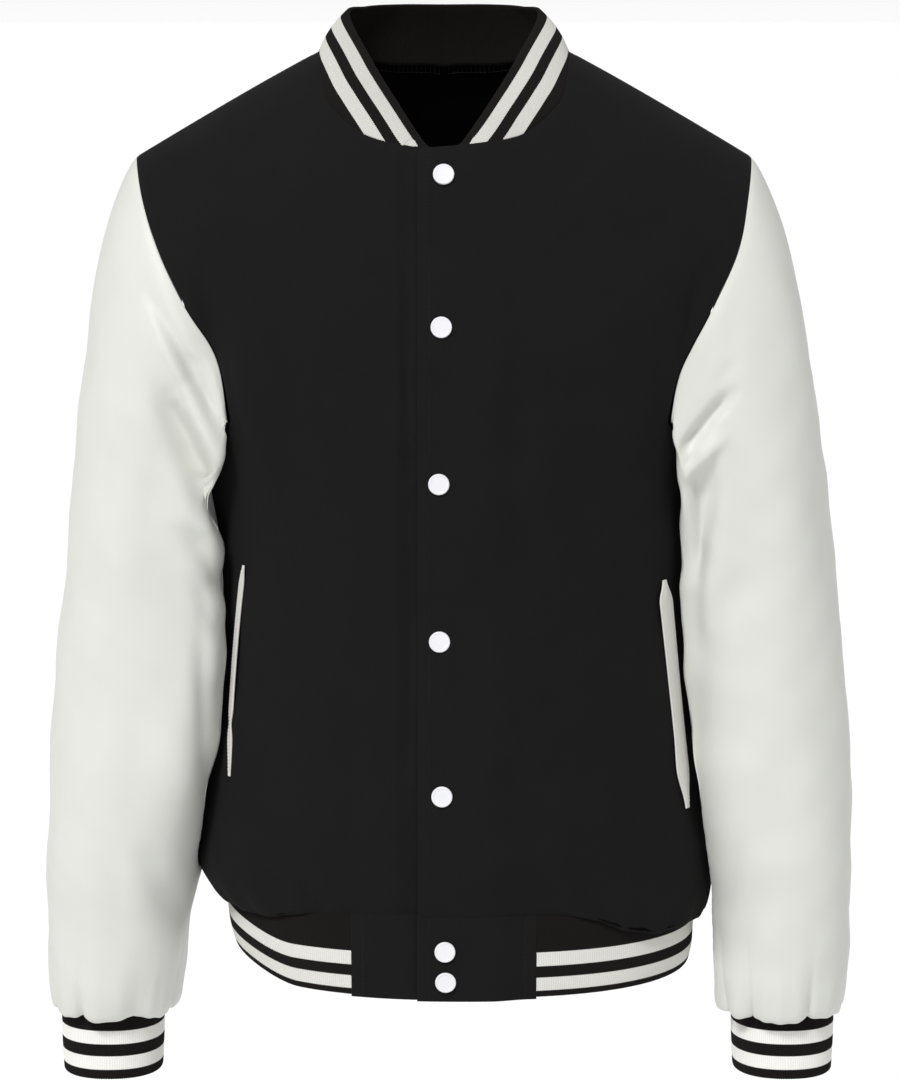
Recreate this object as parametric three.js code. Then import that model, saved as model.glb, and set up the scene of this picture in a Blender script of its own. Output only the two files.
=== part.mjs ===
// A varsity jacket filled out as if worn: wool-look body, smooth light sleeves, striped rib bands.
// Millimetres, +Z up, front towards -Y, the wearer's left at +X. The origin lies midway between the two points
// where the shoulder seams meet the collar, which is where the wearer's shoulders hold the jacket up.
import * as THREE from "three";

// Cloth and gaps
const bodyWall = 2.4;
const sleeveWall = 1.6;
const ribWall = 3;
const weltWall = 1.6;
const seamGap = 0.5;

// Torso: the level of fullest chest, the slope of the shoulders and the roundness of the sections
const chestHeight = -260;
const shoulderTop = 70;
const shoulderSlope = 0.615;
const neckRound = 60;
const sectionPower = 2.35;
const neckPointX = 91;
const shoulderPointX = 226;

// Front closing
const closingEdge = -18.5;
const closingLap = 17;
const lapFlat = 32;
const lapFade = 60;
const snapDiameter = 15;
const frontSnaps = [
  { x: 0, z: -83.2 },
  { x: -1.6, z: -187.6 },
  { x: -3.3, z: -297 },
  { x: -2.8, z: -409 },
  { x: -1.2, z: -520.3 },
];
const hemSnaps = [
  { x: 1.2, z: -635.6 },
  { x: 1.7, z: -658.2 },
];
const snapGap = 0.2;

// Hem band
const hemTop = -612;
const hemBottom = -672;
const tabBottom = -673.5;
const tabReach = 67;
const blouseStart = 72;
const blouseFull = 160;
const hemTuck = 6;
const tabProud = 0.5;
const drawnHem = 15;
const drawnBlouse = 0.45;

// Sleeves
const sleevePower = 2.2;
const torsoClearance = 5;
const gatherCount = 8;
const cuffTop = -695;
const cuffBottom = -752.5;

// Sections of the torso from the hem seam up; drop is how far the cloth hangs over the band at sides and back.
// Rows from the chest up are 40 mm apart on a nominal height that each place stretches to its own shoulder.
const torsoSections = [
  { z: -611.6, drop: 16, half: 177.7, front: 136.6, back: 128.7, shift: 13 },
  { z: -607, drop: 26, half: 182.5, front: 137.2, back: 135, shift: 14 },
  { z: -600, drop: 20, half: 188.5, front: 138.4, back: 140, shift: 11.5 },
  { z: -588, drop: 9, half: 192.5, front: 140.6, back: 141.5, shift: 8 },
  { z: -566, drop: 2, half: 191, front: 143.6, back: 138, shift: 7 },
  { z: -530, drop: 0, half: 184.5, front: 144.2, back: 128, shift: 7.5 },
  { z: -480, drop: 0, half: 176, front: 143, back: 117, shift: 8 },
  { z: -420, drop: 0, half: 172, front: 142, back: 112, shift: 8 },
  { z: -360, drop: 0, half: 172.5, front: 141.4, back: 115, shift: 7 },
  { z: -303, drop: 0, half: 182, front: 141, back: 121, shift: 5 },
  { z: chestHeight, drop: 0, half: 202, front: 140, back: 125, shift: 3 },
  { z: -220, drop: 0, half: 219, front: 139.5, back: 127, shift: 2 },
  { z: -180, drop: 0, half: 232, front: 139, back: 128, shift: 1 },
  { z: -140, drop: 0, half: 243, front: 139, back: 128, shift: 0.5 },
  { z: -100, drop: 0, half: 251, front: 139, back: 127, shift: 0 },
  { z: -60, drop: 0, half: 257, front: 139, back: 126, shift: 0 },
  { z: -20, drop: 0, half: 262, front: 139, back: 125, shift: 0 },
];
const chestRow = 10;
const armpitRow = 9;
const yokeRows = 6;

const hemSections = [
  { z: hemTop, half: 177.1, front: 135.8, back: 128, shift: 13 },
  { z: -642, half: 174.6, front: 136.4, back: 128.4, shift: 13.2 },
  { z: -660, half: 171.7, front: 135.6, back: 127, shift: 15.2 },
  { z: tabBottom, half: 168.5, front: 134, back: 125, shift: 15.5 },
];

// Seen from the front: the neck seam from the centre out, and the armhole seam from the shoulder down
const frontNeckline = [
  { x: 0, z: -66 },
  { x: 20, z: -65 },
  { x: 35, z: -62 },
  { x: 47, z: -58 },
  { x: 62, z: -50 },
  { x: 76, z: -38 },
  { x: 86, z: -22 },
];
const backNeckline = [
  { x: 0, z: -8 },
  { x: 40, z: -6.5 },
  { x: 70, z: -2.5 },
  { x: 84, z: 0.5 },
];
const frontArmhole = [
  { x: 220, z: -100, shift: 1 },
  { x: 209.5, z: -136, shift: 3.5 },
  { x: 192, z: -172, shift: 4 },
  { x: 175, z: -207, shift: 5 },
  { x: 164.5, z: -240, shift: 4 },
  { x: 164, z: -266, shift: 3 },
  { x: 170, z: -287, shift: 3 },
];
const backArmhole = [
  { x: 217, z: -110, shift: 1 },
  { x: 208, z: -150, shift: 2 },
  { x: 200, z: -195, shift: 3 },
  { x: 194, z: -235, shift: 4 },
  { x: 189, z: -265, shift: 4 },
  { x: 186, z: -288, shift: 4 },
];

// The collar's free edge, each row opposite the place on the neck seam that seam gives, from back to front
const collarEdge = [
  { seam: 0, x: 0, y: 53, z: 37 },
  { seam: 0.16, x: 33, y: 50, z: 37 },
  { seam: 0.31, x: 58, y: 36, z: 35.5 },
  { seam: 0.42, x: 70.5, y: 13, z: 31 },
  { seam: 0.62, x: 53, y: -40, z: 0 },
  { seam: 0.7, x: 42.5, y: -58, z: -17 },
  { seam: 0.79, x: 31.5, y: -74, z: -33.5 },
  { seam: 0.86, x: 22.5, y: -86, z: -47 },
  { seam: 0.91, x: 16.5, y: -93.5, z: -55.5 },
  { seam: 0.96, x: 11.5, y: -99.5, z: -61.5 },
  { seam: 1, x: 8.5, y: -102.6, z: -63.2 },
];
const collarEndX = 9;
const neckPointShare = 0.42;
const collarGap = 0.9;
const collarBulge = 3;

// Rings of a sleeve below the armhole: the plane it is mirrored about, how far out and in it reaches from it,
// its front and back, and how its rings lean. gather is the height of the scallops that the cuff draws up.
// The last three rows roll under on to the cuff.
const sleeveRings = [
  { z: -345, mirror: 4.5, outer: 281.5, inner: 160, front: -93, back: 70, lean: 0, gather: 0 },
  { z: -400, mirror: 4.5, outer: 287.5, inner: 160, front: -93, back: 66, lean: 0.01, gather: 0 },
  { z: -460, mirror: 4.5, outer: 293, inner: 162, front: -95, back: 60, lean: 0.02, gather: 0 },
  { z: -520, mirror: 4.5, outer: 297.5, inner: 166, front: -98, back: 53, lean: 0.02, gather: 0 },
  { z: -580, mirror: 4.5, outer: 299.5, inner: 181, front: -97, back: 45, lean: 0.02, gather: 0 },
  { z: -630, mirror: 4.3, outer: 299.8, inner: 192, front: -92, back: 38, lean: 0.02, gather: 0.3 },
  { z: -664, mirror: 4, outer: 299.5, inner: 197, front: -87, back: 33, lean: 0.02, gather: 1.2 },
  { z: -686, mirror: 3.5, outer: 297.5, inner: 201.5, front: -83, back: 29.5, lean: 0.02, gather: 3 },
  { z: -700, mirror: 3, outer: 294.6, inner: 205, front: -77.5, back: 25.5, lean: 0.02, gather: 5 },
  { z: -704, mirror: 2.8, outer: 292.6, inner: 208, front: -72.6, back: 22, lean: 0.02, gather: 3.4 },
  { z: -698.5, mirror: 2.8, outer: 290.3, inner: 212.7, front: -68.5, back: 18.2, lean: 0.02, gather: 0 },
];
// How much fuller than round each sleeve's front corner is beside the body, at the first rings
const fullerCorners = [
  { right: 4.5, left: 3 },
  { right: 3.5, left: 1 },
  { right: 2, left: 0 },
  { right: 0.8, left: 0 },
  { right: 0, left: 0 },
];
const cuffRings = [
  { z: cuffTop, mirror: 2.8, outer: 289.5, inner: 213.5, front: -67.7, back: 17.4, lean: 0.02 },
  { z: -724, mirror: 2.8, outer: 289.6, inner: 213.4, front: -69.3, back: 15.7, lean: 0.02 },
  { z: cuffBottom, mirror: 2.8, outer: 288, inner: 214.5, front: -72, back: 10.5, lean: 0.02 },
];

// The way that the sleeve leaves the armhole at the top, front, underarm and back, and how strongly
const capStart = [
  { at: "top", x: 0.56, y: 0, z: -0.83, pull: 200 },
  { at: "front", x: 0.8, y: -0.16, z: -0.58, pull: 120 },
  { at: "under", x: 0.35, y: 0, z: -0.94, pull: 36 },
  { at: "back", x: 0.76, y: 0.14, z: -0.63, pull: 125 },
];
const capEndPull = 0.95;
const capCorner = { round: 2.32, breadth: 0.42, x: -0.12, y: -0.36, z: -0.9, pull: 95 };

// Main folds: a line seen from the front or back, its breadth, and its depth, where a ridge is negative
const torsoFolds = [
  { back: 0, x1: -172, z1: -165, x2: -146, z2: -330, breadth: 15, depth: 4.5 },
  { back: 0, x1: 178, z1: -150, x2: 156, z2: -300, breadth: 13, depth: 4 },
  { back: 0, x1: -150, z1: -500, x2: -95, z2: -600, breadth: 18, depth: 3 },
  { back: 0, x1: 160, z1: -505, x2: 112, z2: -600, breadth: 18, depth: 3 },
  { back: 1, x1: -168, z1: -150, x2: -140, z2: -360, breadth: 18, depth: 5 },
  { back: 1, x1: 170, z1: -150, x2: 146, z2: -360, breadth: 18, depth: 5 },
  { back: 1, x1: -110, z1: -470, x2: -60, z2: -600, breadth: 22, depth: 4 },
  { back: 1, x1: 118, z1: -480, x2: 74, z2: -600, breadth: 22, depth: 4 },
];
const sleeveFolds = {
  right: [
    { back: 0, x1: 206, z1: -180, x2: 176, z2: -246, breadth: 9, depth: 4 },
    { back: 0, x1: 214, z1: -228, x2: 166, z2: -330, breadth: 11, depth: 8 },
    { back: 0, x1: 206, z1: -330, x2: 170, z2: -415, breadth: 13, depth: 4 },
    { back: 0, x1: 226, z1: -560, x2: 196, z2: -640, breadth: 13, depth: 3 },
    { back: 1, x1: 226, z1: -190, x2: 186, z2: -290, breadth: 13, depth: 6 },
    { back: 1, x1: 232, z1: -400, x2: 196, z2: -450, breadth: 14, depth: 5 },
  ],
  left: [
    { back: 0, x1: 207, z1: -232, x2: 168, z2: -290, breadth: 10, depth: 6 },
    { back: 0, x1: 200, z1: -275, x2: 168, z2: -350, breadth: 12, depth: 7 },
    { back: 0, x1: 208, z1: -370, x2: 176, z2: -440, breadth: 14, depth: 3 },
    { back: 0, x1: 230, z1: -590, x2: 204, z2: -660, breadth: 13, depth: 3 },
    { back: 1, x1: 224, z1: -205, x2: 186, z2: -300, breadth: 13, depth: 6 },
    { back: 1, x1: 236, z1: -415, x2: 198, z2: -470, breadth: 14, depth: 5 },
  ],
};
const puckersRound = 30;
const puckerHeight = 0.8;

// Pocket welts, each from its upper to its lower end as seen from the front; bend moves the middle sideways.
// The right one is narrower to the eye, as the front folds over its edge.
const welts = {
  right: { x1: -143, z1: -364, x2: -156, z2: -521, bend: -2, wide: 6.5, ends: 2.5 },
  left: { x1: 158, z1: -375, x2: 177, z2: -545, bend: 0, wide: 18, ends: 5 },
};

// Mesh steps
const frontColumns = 14;
const backColumns = 30;
const yokeSteps = 16;
const lowerLevels = [0, 0.5, 1, 1.6, 2.4, 3.4, 4.5, 6, 7.5, 8.3, 9];
const neckSteps = 6;
const backNeckColumns = 10;
const sleeveColumns = 2 * yokeSteps;
const capLevels = [-1, -0.92, -0.8, -0.65, -0.5, -0.35, -0.18, 0];
const ringLevels = [0.6, 1.3, 2, 3, 4, 5, 6, 6.7, 7.4, 8, 8.5, 9, 10];
const hemColumns = 42;

const { lerp, clamp, smoothstep } = THREE.MathUtils;
const quarter = Math.PI / 2;

function signedPower(value, power) {
  return Math.sign(value) * Math.abs(value) ** power;
}

// Reads a table at a row number that may lie between two rows, on a smooth line through all rows
function tableAt(table, at) {
  const last = table.length - 1;
  const i = clamp(Math.floor(at), 0, last - 1);
  const f = at - i;
  const row = {};
  for (const key of Object.keys(table[0])) {
    const b = table[i][key];
    const c = table[i + 1][key];
    const a = i > 0 ? table[i - 1][key] : 2 * b - c;
    const d = i + 2 <= last ? table[i + 2][key] : 2 * c - b;
    const bend = 2 * a - 5 * b + 4 * c - d + f * (3 * (b - c) + d - a);
    row[key] = b + 0.5 * f * (c - a + f * bend);
  }
  return row;
}

// The row number where a column of a table has a value, between two rows where it only rises or only falls
function rowWhere(table, key, value, low, high) {
  let [a, b] = [low, high];
  for (let i = 0; i < 40; i++) {
    const middle = (a + b) / 2;
    if ((tableAt(table, middle)[key] < value) === (table[high][key] > table[low][key])) a = middle;
    else b = middle;
  }
  return (a + b) / 2;
}

function ridgeHeight(x) {
  return shoulderTop - shoulderSlope * Math.hypot(x, neckRound);
}

// How fully the cloth hangs over the hem band: not at the front tabs, fully at the back and the wearer's left,
// and less at the wearer's right, where the jacket is drawn up
function blouse(x, onFront) {
  const drawn = 1 - drawnBlouse * smoothstep(-x, 90, 160);
  return drawn * (onFront ? smoothstep(Math.abs(x), blouseStart, blouseFull) : 1);
}

// Torso cloth with no folds. turn goes round from the centre front, 0, past the wearer's left, a quarter turn.
// climb is a row number less chestRow below the chest, and an angle up to a quarter turn at the shoulder above.
function torsoBase(turn, climb) {
  const level = climb <= 0 ? chestRow + climb : chestRow + yokeRows * Math.sin(climb);
  const row = tableAt(torsoSections, level);
  const onFront = Math.cos(turn) > 0;
  const x = row.shift + row.half * signedPower(Math.sin(turn), 2 / sectionPower);
  const depth = (onFront ? row.front : row.back) * Math.abs(Math.cos(turn)) ** (2 / sectionPower);
  const y = (onFront ? -depth : depth) * (climb > 0 ? Math.cos(climb) : 1);
  const z = climb > 0
    ? chestHeight + (ridgeHeight(x) - chestHeight) * Math.sin(climb)
    : row.z - row.drop * blouse(x, onFront);
  return new THREE.Vector3(x, y, z);
}

// The outward normal of a surface given as a function of two numbers
function normalOf(surface, u, v, du, dv, inside) {
  const across = surface(u + du, v).sub(surface(u - du, v));
  const along = surface(u, v + dv).sub(surface(u, v - dv));
  const normal = across.cross(along).normalize();
  return inside ? normal.negate() : normal;
}

function torsoNormal(turn, climb) {
  const step = 0.012;
  const high = quarter - step;
  const low = -chestRow + step;
  return normalOf(torsoBase, turn, clamp(climb, low, high), step, step, false);
}

// How far folds move a point of cloth, by its place seen from the front or back
function foldHeight(folds, x, z, isBack) {
  let height = 0;
  for (const fold of folds) {
    if (fold.back === 1 !== isBack) continue;
    const dx = fold.x2 - fold.x1;
    const dz = fold.z2 - fold.z1;
    const long = Math.hypot(dx, dz);
    const along = ((x - fold.x1) * dx + (z - fold.z1) * dz) / long ** 2;
    const away = ((x - fold.x1) * dz - (z - fold.z1) * dx) / long;
    const taper = smoothstep(along, -0.15, 0.3) * (1 - smoothstep(along, 0.7, 1.15));
    height -= fold.depth * taper * Math.exp(-((away / fold.breadth) ** 2));
  }
  return height;
}

// Small gathers in the body just above the hem band
function puckers(turn, climb) {
  const level = climb + chestRow;
  const nearHem = smoothstep(level, 0, 1.2) * (1 - smoothstep(level, 1.8, 4));
  const onTabs = 1 - smoothstep(Math.abs(Math.sin(turn)), 0.2, 0.45);
  const share = Math.cos(turn) > 0 ? 1 - onTabs : 1;
  return puckerHeight * nearHem * share * Math.cos(puckersRound * turn);
}

// A point of the torso with its folds, raised from the surface by lift
function torsoPoint(turn, climb, lift = 0) {
  const base = torsoBase(turn, climb);
  const normal = torsoNormal(turn, climb);
  const isBack = Math.cos(turn) <= 0;
  const side = smoothstep(Math.abs(Math.cos(turn)), 0.02, 0.35);
  const folds = side * foldHeight(torsoFolds, base.x, base.z, isBack) + puckers(turn, climb);
  return base.addScaledVector(normal, folds + lift);
}

// The place on the torso's surface whose seen position is x and z
function torsoPlace(x, z, isBack) {
  const climb = z > chestHeight
    ? Math.asin(clamp((z - chestHeight) / (ridgeHeight(x) - chestHeight), 0, 1))
    : rowWhere(torsoSections, "z", z, 4, chestRow) - chestRow;
  const row = tableAt(torsoSections, chestRow + (climb > 0 ? yokeRows * Math.sin(climb) : climb));
  const turn = Math.asin(clamp(signedPower((x - row.shift) / row.half, sectionPower / 2), -1, 1));
  return { turn: isBack ? Math.PI - turn : turn, climb };
}

// A line through places on a surface, read by its share of the real length
function lineThrough(places, surface) {
  const fine = [];
  const perStep = 24;
  for (let i = 0; i <= (places.length - 1) * perStep; i++) fine.push(tableAt(places, i / perStep));
  const far = [0];
  for (let i = 1; i < fine.length; i++) {
    const here = surface(fine[i].turn, fine[i].climb);
    far.push(far[i - 1] + here.distanceTo(surface(fine[i - 1].turn, fine[i - 1].climb)));
  }
  return (share) => {
    const want = clamp(share, 0, 1) * far[far.length - 1];
    let i = 1;
    while (i < far.length - 1 && far[i] < want) i++;
    const f = (want - far[i - 1]) / (far[i] - far[i - 1]);
    return {
      turn: lerp(fine[i - 1].turn, fine[i].turn, f),
      climb: lerp(fine[i - 1].climb, fine[i].climb, f),
    };
  };
}

function shoulderPlace(x, isBack) {
  const place = torsoPlace(x, 0, isBack);
  return { turn: place.turn, climb: quarter };
}

function placesOf(rows, side, isBack) {
  return rows.map((row) => torsoPlace(side * row.x + (row.shift ?? 0), row.z, isBack));
}

// Armhole seams from the shoulder down to the underarm; side is 1 for the wearer's left
function armholeLine(side, isBack) {
  const underarm = { turn: side * quarter, climb: armpitRow - chestRow };
  if (isBack && side < 0) underarm.turn = Math.PI * 1.5;
  const rows = placesOf(isBack ? backArmhole : frontArmhole, side, isBack);
  return lineThrough([shoulderPlace(side * shoulderPointX, isBack), ...rows, underarm], torsoBase);
}

function necklineLine(side, isBack) {
  const rows = placesOf(isBack ? backNeckline : frontNeckline, side, isBack);
  return lineThrough([...rows, shoulderPlace(side * neckPointX, isBack)], torsoBase);
}

// Fills a patch between four border lines given over 0 to 1
function patch(bottom, top, left, right) {
  const mix = (key, s, t) =>
    (1 - t) * bottom(s)[key] + t * top(s)[key] + (1 - s) * left(t)[key] + s * right(t)[key] -
    ((1 - s) * (1 - t) * bottom(0)[key] + s * (1 - t) * bottom(1)[key] +
      (1 - s) * t * top(0)[key] + s * t * top(1)[key]);
  return (s, t) => ({ turn: mix("turn", s, t), climb: mix("climb", s, t) });
}

// Whether a four-sided face splits best between its second and fourth corners
function splitFromFirst([a, b, c, d]) {
  return b.distanceTo(d) < a.distanceTo(c) - 0.01;
}

// A closed wall between two grids of points of the same shape; ring joins the last column to the first
function wallMesh(name, outer, inner, material, ring = false) {
  const rows = outer.length;
  const columns = outer[0].length;
  const points = [...outer.flat(), ...inner.flat()];
  const half = rows * columns;
  const index = [];
  const face = (a, b, c, d) => index.push(a, b, c, a, c, d);
  const at = (r, c) => r * columns + (c % columns);
  const spans = ring ? columns : columns - 1;
  for (let r = 0; r < rows - 1; r++) {
    for (let c = 0; c < spans; c++) {
      const corners = [at(r, c), at(r, c + 1), at(r + 1, c + 1), at(r + 1, c)];
      if (splitFromFirst(corners.map((i) => points[i]))) corners.push(corners.shift());
      const [p, q, s, t] = corners.map((i) => half + i);
      face(...corners);
      face(p, t, s, q);
    }
  }
  for (let c = 0; c < spans; c++) {
    face(at(0, c), half + at(0, c), half + at(0, c + 1), at(0, c + 1));
    const top = rows - 1;
    face(at(top, c), at(top, c + 1), half + at(top, c + 1), half + at(top, c));
  }
  for (let r = 0; !ring && r < rows - 1; r++) {
    face(at(r, 0), at(r + 1, 0), half + at(r + 1, 0), half + at(r, 0));
    const end = columns - 1;
    face(at(r, end), half + at(r, end), half + at(r + 1, end), at(r + 1, end));
  }
  const geometry = new THREE.BufferGeometry();
  const flat = points.flatMap((p) => p.toArray());
  geometry.setAttribute("position", new THREE.Float32BufferAttribute(flat, 3));
  geometry.setIndex(volumeOf(points, index) < 0 ? turnedRound(index) : index);
  geometry.computeVertexNormals();
  const mesh = new THREE.Mesh(geometry, material);
  mesh.name = name;
  return mesh;
}

function volumeOf(points, index) {
  let sum = 0;
  const cross = new THREE.Vector3();
  for (let i = 0; i < index.length; i += 3) {
    sum += points[index[i]].dot(cross.crossVectors(points[index[i + 1]], points[index[i + 2]]));
  }
  return sum / 6;
}

function turnedRound(index) {
  const turned = [];
  for (let i = 0; i < index.length; i += 3) turned.push(index[i], index[i + 2], index[i + 1]);
  return turned;
}

const cloth = {
  body: new THREE.MeshStandardMaterial({ color: 0x1c1b1c, roughness: 0.95, metalness: 0 }),
  sleeve: new THREE.MeshStandardMaterial({ color: 0xdedfda, roughness: 0.55, metalness: 0 }),
  rib: new THREE.MeshStandardMaterial({ color: 0x191817, roughness: 0.9, metalness: 0 }),
  welt: new THREE.MeshStandardMaterial({ color: 0xdfddd9, roughness: 0.55, metalness: 0 }),
  snap: new THREE.MeshStandardMaterial({ color: 0xf2f2f5, roughness: 0.3, metalness: 0 }),
};

// How far the overlapping front stands off the one beneath it
const lapLift = bodyWall + 1.4;
function lapAt(x) {
  return lapLift * (1 - smoothstep(x, lapFlat, lapFade));
}

function turnAtX(x, climb) {
  const level = climb <= 0 ? chestRow + climb : chestRow + yokeRows * Math.sin(climb);
  const row = tableAt(torsoSections, level);
  return Math.asin(clamp(signedPower((x - row.shift) / row.half, sectionPower / 2), -1, 1));
}

const sideGapTurn = seamGap / 2 / torsoSections[chestRow].half;
const seamDrop = seamGap / 180;

// A place on a front panel below the armpit, by its share of the way from the closing edge to the side seam
function frontPlace(side, share, climb) {
  const edge = turnAtX(side > 0 ? closingEdge : closingLap, climb);
  return { turn: lerp(edge, side * (quarter - sideGapTurn), share), climb };
}

// A point on the flat faces that make up a front panel below the armpit
function onFrontFaces(side) {
  return (turn, climb) => {
    const level = climb + chestRow;
    let row = 0;
    while (row < lowerLevels.length - 2 && lowerLevels[row + 1] < level) row++;
    const up = (level - lowerLevels[row]) / (lowerLevels[row + 1] - lowerLevels[row]);
    const start = frontPlace(side, 0, climb).turn;
    const column = ((turn - start) / (frontPlace(side, 1, climb).turn - start)) * frontColumns;
    const left = Math.floor(column);
    const over = column - left;
    const corner = (r, c) => {
      const place = frontPlace(side, c / frontColumns, lowerLevels[r] - chestRow);
      return torsoPoint(place.turn, place.climb);
    };
    const [a, b] = [corner(row, left), corner(row, left + 1)];
    const [c, d] = [corner(row + 1, left + 1), corner(row + 1, left)];
    const mix = (p, q, s, pq, ps) =>
      p.clone().multiplyScalar(1 - pq - ps).addScaledVector(q, pq).addScaledVector(s, ps);
    if (!splitFromFirst([a, b, c, d])) {
      return over > up ? mix(a, b, c, over - up, up) : mix(a, d, c, up - over, over);
    }
    return over + up < 1 ? mix(a, b, d, over, up) : mix(c, d, b, 1 - over, 1 - up);
  };
}

// The neck edge of a front panel, from its closing edge, past the centre, to the shoulder
function frontNeck(side) {
  const line = necklineLine(side, false);
  const corner = torsoPlace(side > 0 ? closingEdge : closingLap, frontNeckline[0].z, false);
  const centre = line(0);
  return (along) => {
    const place = line(along);
    const beyond = 1 - smoothstep(along, 0, 0.35);
    const climb = place.climb + (corner.climb - centre.climb) * beyond;
    const turn = place.turn + (corner.turn - centre.turn) * beyond;
    return { turn, climb: Math.min(climb, quarter - seamDrop) };
  };
}

// A point of a front panel's cloth, with the lift that one front needs to lap over the other
function frontPoint(side, { turn, climb }, lift = 0) {
  const lap = side > 0 ? lapAt(torsoBase(turn, climb).x) : 0;
  return torsoPoint(turn, climb, lap + lift);
}

// One front panel, from its closing edge to the side seam and armhole. The left one laps over the right one.
function frontPanel(name, side) {
  const edgeX = side > 0 ? closingEdge : closingLap;
  const sideTurn = side * (quarter - sideGapTurn);
  const armpitClimb = armpitRow - chestRow;
  const neckline = frontNeck(side);
  const neckShare = 1 - neckSteps / yokeSteps;
  const armhole = armholeLine(side, false);
  const bottom = (s) => ({ turn: lerp(turnAtX(edgeX, armpitClimb), sideTurn, s), climb: armpitClimb });
  const [neckPoint, shoulderPoint] = [neckPointX, shoulderPointX].map((x) => shoulderPlace(side * x, false));
  const top = (s) => ({ turn: lerp(neckPoint.turn, shoulderPoint.turn, s), climb: quarter - seamDrop });
  const left = (t) => {
    if (t >= neckShare) return neckline((t - neckShare) / (1 - neckShare));
    const climb = lerp(armpitClimb, neckline(0).climb, t / neckShare);
    return { turn: turnAtX(edgeX, climb), climb };
  };
  const right = (t) => {
    const place = armhole(1 - t);
    return { turn: t === 0 ? sideTurn : place.turn, climb: Math.min(place.climb, quarter - seamDrop) };
  };
  const yoke = patch(bottom, top, left, right);
  const places = lowerLevels.map((level) =>
    Array.from({ length: frontColumns + 1 }, (_, c) => frontPlace(side, c / frontColumns, level - chestRow)),
  );
  for (let r = 1; r <= yokeSteps; r++) {
    places.push(Array.from({ length: frontColumns + 1 }, (_, c) => yoke(c / frontColumns, r / yokeSteps)));
  }
  const outer = places.map((row) => row.map((p) => frontPoint(side, p)));
  const inner = places.map((row) => row.map((p) => frontPoint(side, p, -bodyWall)));
  return wallMesh(name, outer, inner, cloth.body);
}

// The back in one piece, round from one side seam to the other
function backPanel(name) {
  const from = quarter + sideGapTurn;
  const to = 3 * quarter - sideGapTurn;
  const armpitClimb = armpitRow - chestRow;
  const roof = quarter - seamDrop;
  const armholes = [armholeLine(1, true), armholeLine(-1, true)];
  const necklines = [necklineLine(1, true), necklineLine(-1, true)];
  const shoulderTurns = [1, -1].map((side) => [
    shoulderPlace(side * shoulderPointX, true).turn,
    shoulderPlace(side * neckPointX, true).turn,
  ]);
  const neckStart = (backColumns - backNeckColumns) / 2 / backColumns;
  const bottom = (s) => ({ turn: lerp(from, to, s), climb: armpitClimb });
  const top = (s) => {
    if (s <= neckStart) return { turn: lerp(...shoulderTurns[0], s / neckStart), climb: roof };
    if (s >= 1 - neckStart) return { turn: lerp(...shoulderTurns[1], (1 - s) / neckStart), climb: roof };
    const place = necklines[s < 0.5 ? 0 : 1](Math.abs(0.5 - s) / (0.5 - neckStart));
    return { turn: place.turn, climb: Math.min(place.climb, roof) };
  };
  const sideLine = (which, sideTurn) => (t) => {
    const place = armholes[which](1 - t);
    return { turn: t === 0 ? sideTurn : place.turn, climb: Math.min(place.climb, roof) };
  };
  const yoke = patch(bottom, top, sideLine(0, from), sideLine(1, to));
  const places = lowerLevels.map((level) =>
    Array.from({ length: backColumns + 1 }, (_, c) => ({
      turn: lerp(from, to, c / backColumns),
      climb: level - chestRow,
    })),
  );
  for (let r = 1; r <= yokeSteps; r++) {
    places.push(Array.from({ length: backColumns + 1 }, (_, c) => yoke(c / backColumns, r / yokeSteps)));
  }
  const outer = places.map((row) => row.map((p) => torsoPoint(p.turn, p.climb)));
  const inner = places.map((row) => row.map((p) => torsoPoint(p.turn, p.climb, -bodyWall)));
  return wallMesh(name, outer, inner, cloth.body);
}

// A point on a ring of a sleeve or cuff; round is 0 outside, a quarter turn at the front, a half turn inside.
// square makes the quarter between front and inside fuller.
function ringPoint(row, round, side, square = 0) {
  const middleX = (row.outer + row.inner) / 2;
  const middleY = (row.front + row.back) / 2;
  const across = signedPower(Math.cos(round), 2 / sleevePower);
  const ahead = signedPower(Math.sin(round), 2 / sleevePower);
  const power = sleevePower + (across < 0 && ahead > 0 ? square : 0);
  const full = (Math.abs(across) ** power + Math.abs(ahead) ** power) ** (-1 / power);
  const x = middleX + ((row.outer - row.inner) / 2) * across * full;
  const y = middleY - ((row.back - row.front) / 2) * ahead * full;
  return new THREE.Vector3(row.mirror + side * x, y, row.z - row.lean * (y - middleY));
}

// Scallops round the end of a sleeve: 1 in the middle of a puff and 0 in the crease between two
function scallop(round, side) {
  const uneven = round + 0.12 * Math.sin(2 * round + side) + 0.07 * Math.sin(5 * round);
  return Math.abs(Math.cos((gatherCount / 2) * uneven)) ** 0.7;
}

// Moves a point of a sleeve out of the torso, so that the two stay at least near apart
function clearOfTorso(point, near) {
  if (point.z > chestHeight) return point;
  const level = rowWhere(torsoSections, "z", Math.max(point.z, -600), 1, chestRow);
  const row = tableAt(torsoSections, level);
  const half = row.half + near;
  const depth = (point.y < 0 ? row.front : row.back) + near;
  const x = point.x - row.shift;
  const reach = (Math.abs(x) / half) ** sectionPower + (Math.abs(point.y) / depth) ** sectionPower;
  if (reach >= 1) return point;
  const scale = reach ** (-1 / sectionPower);
  return point.set(row.shift + x * scale, point.y * scale, point.z);
}

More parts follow.
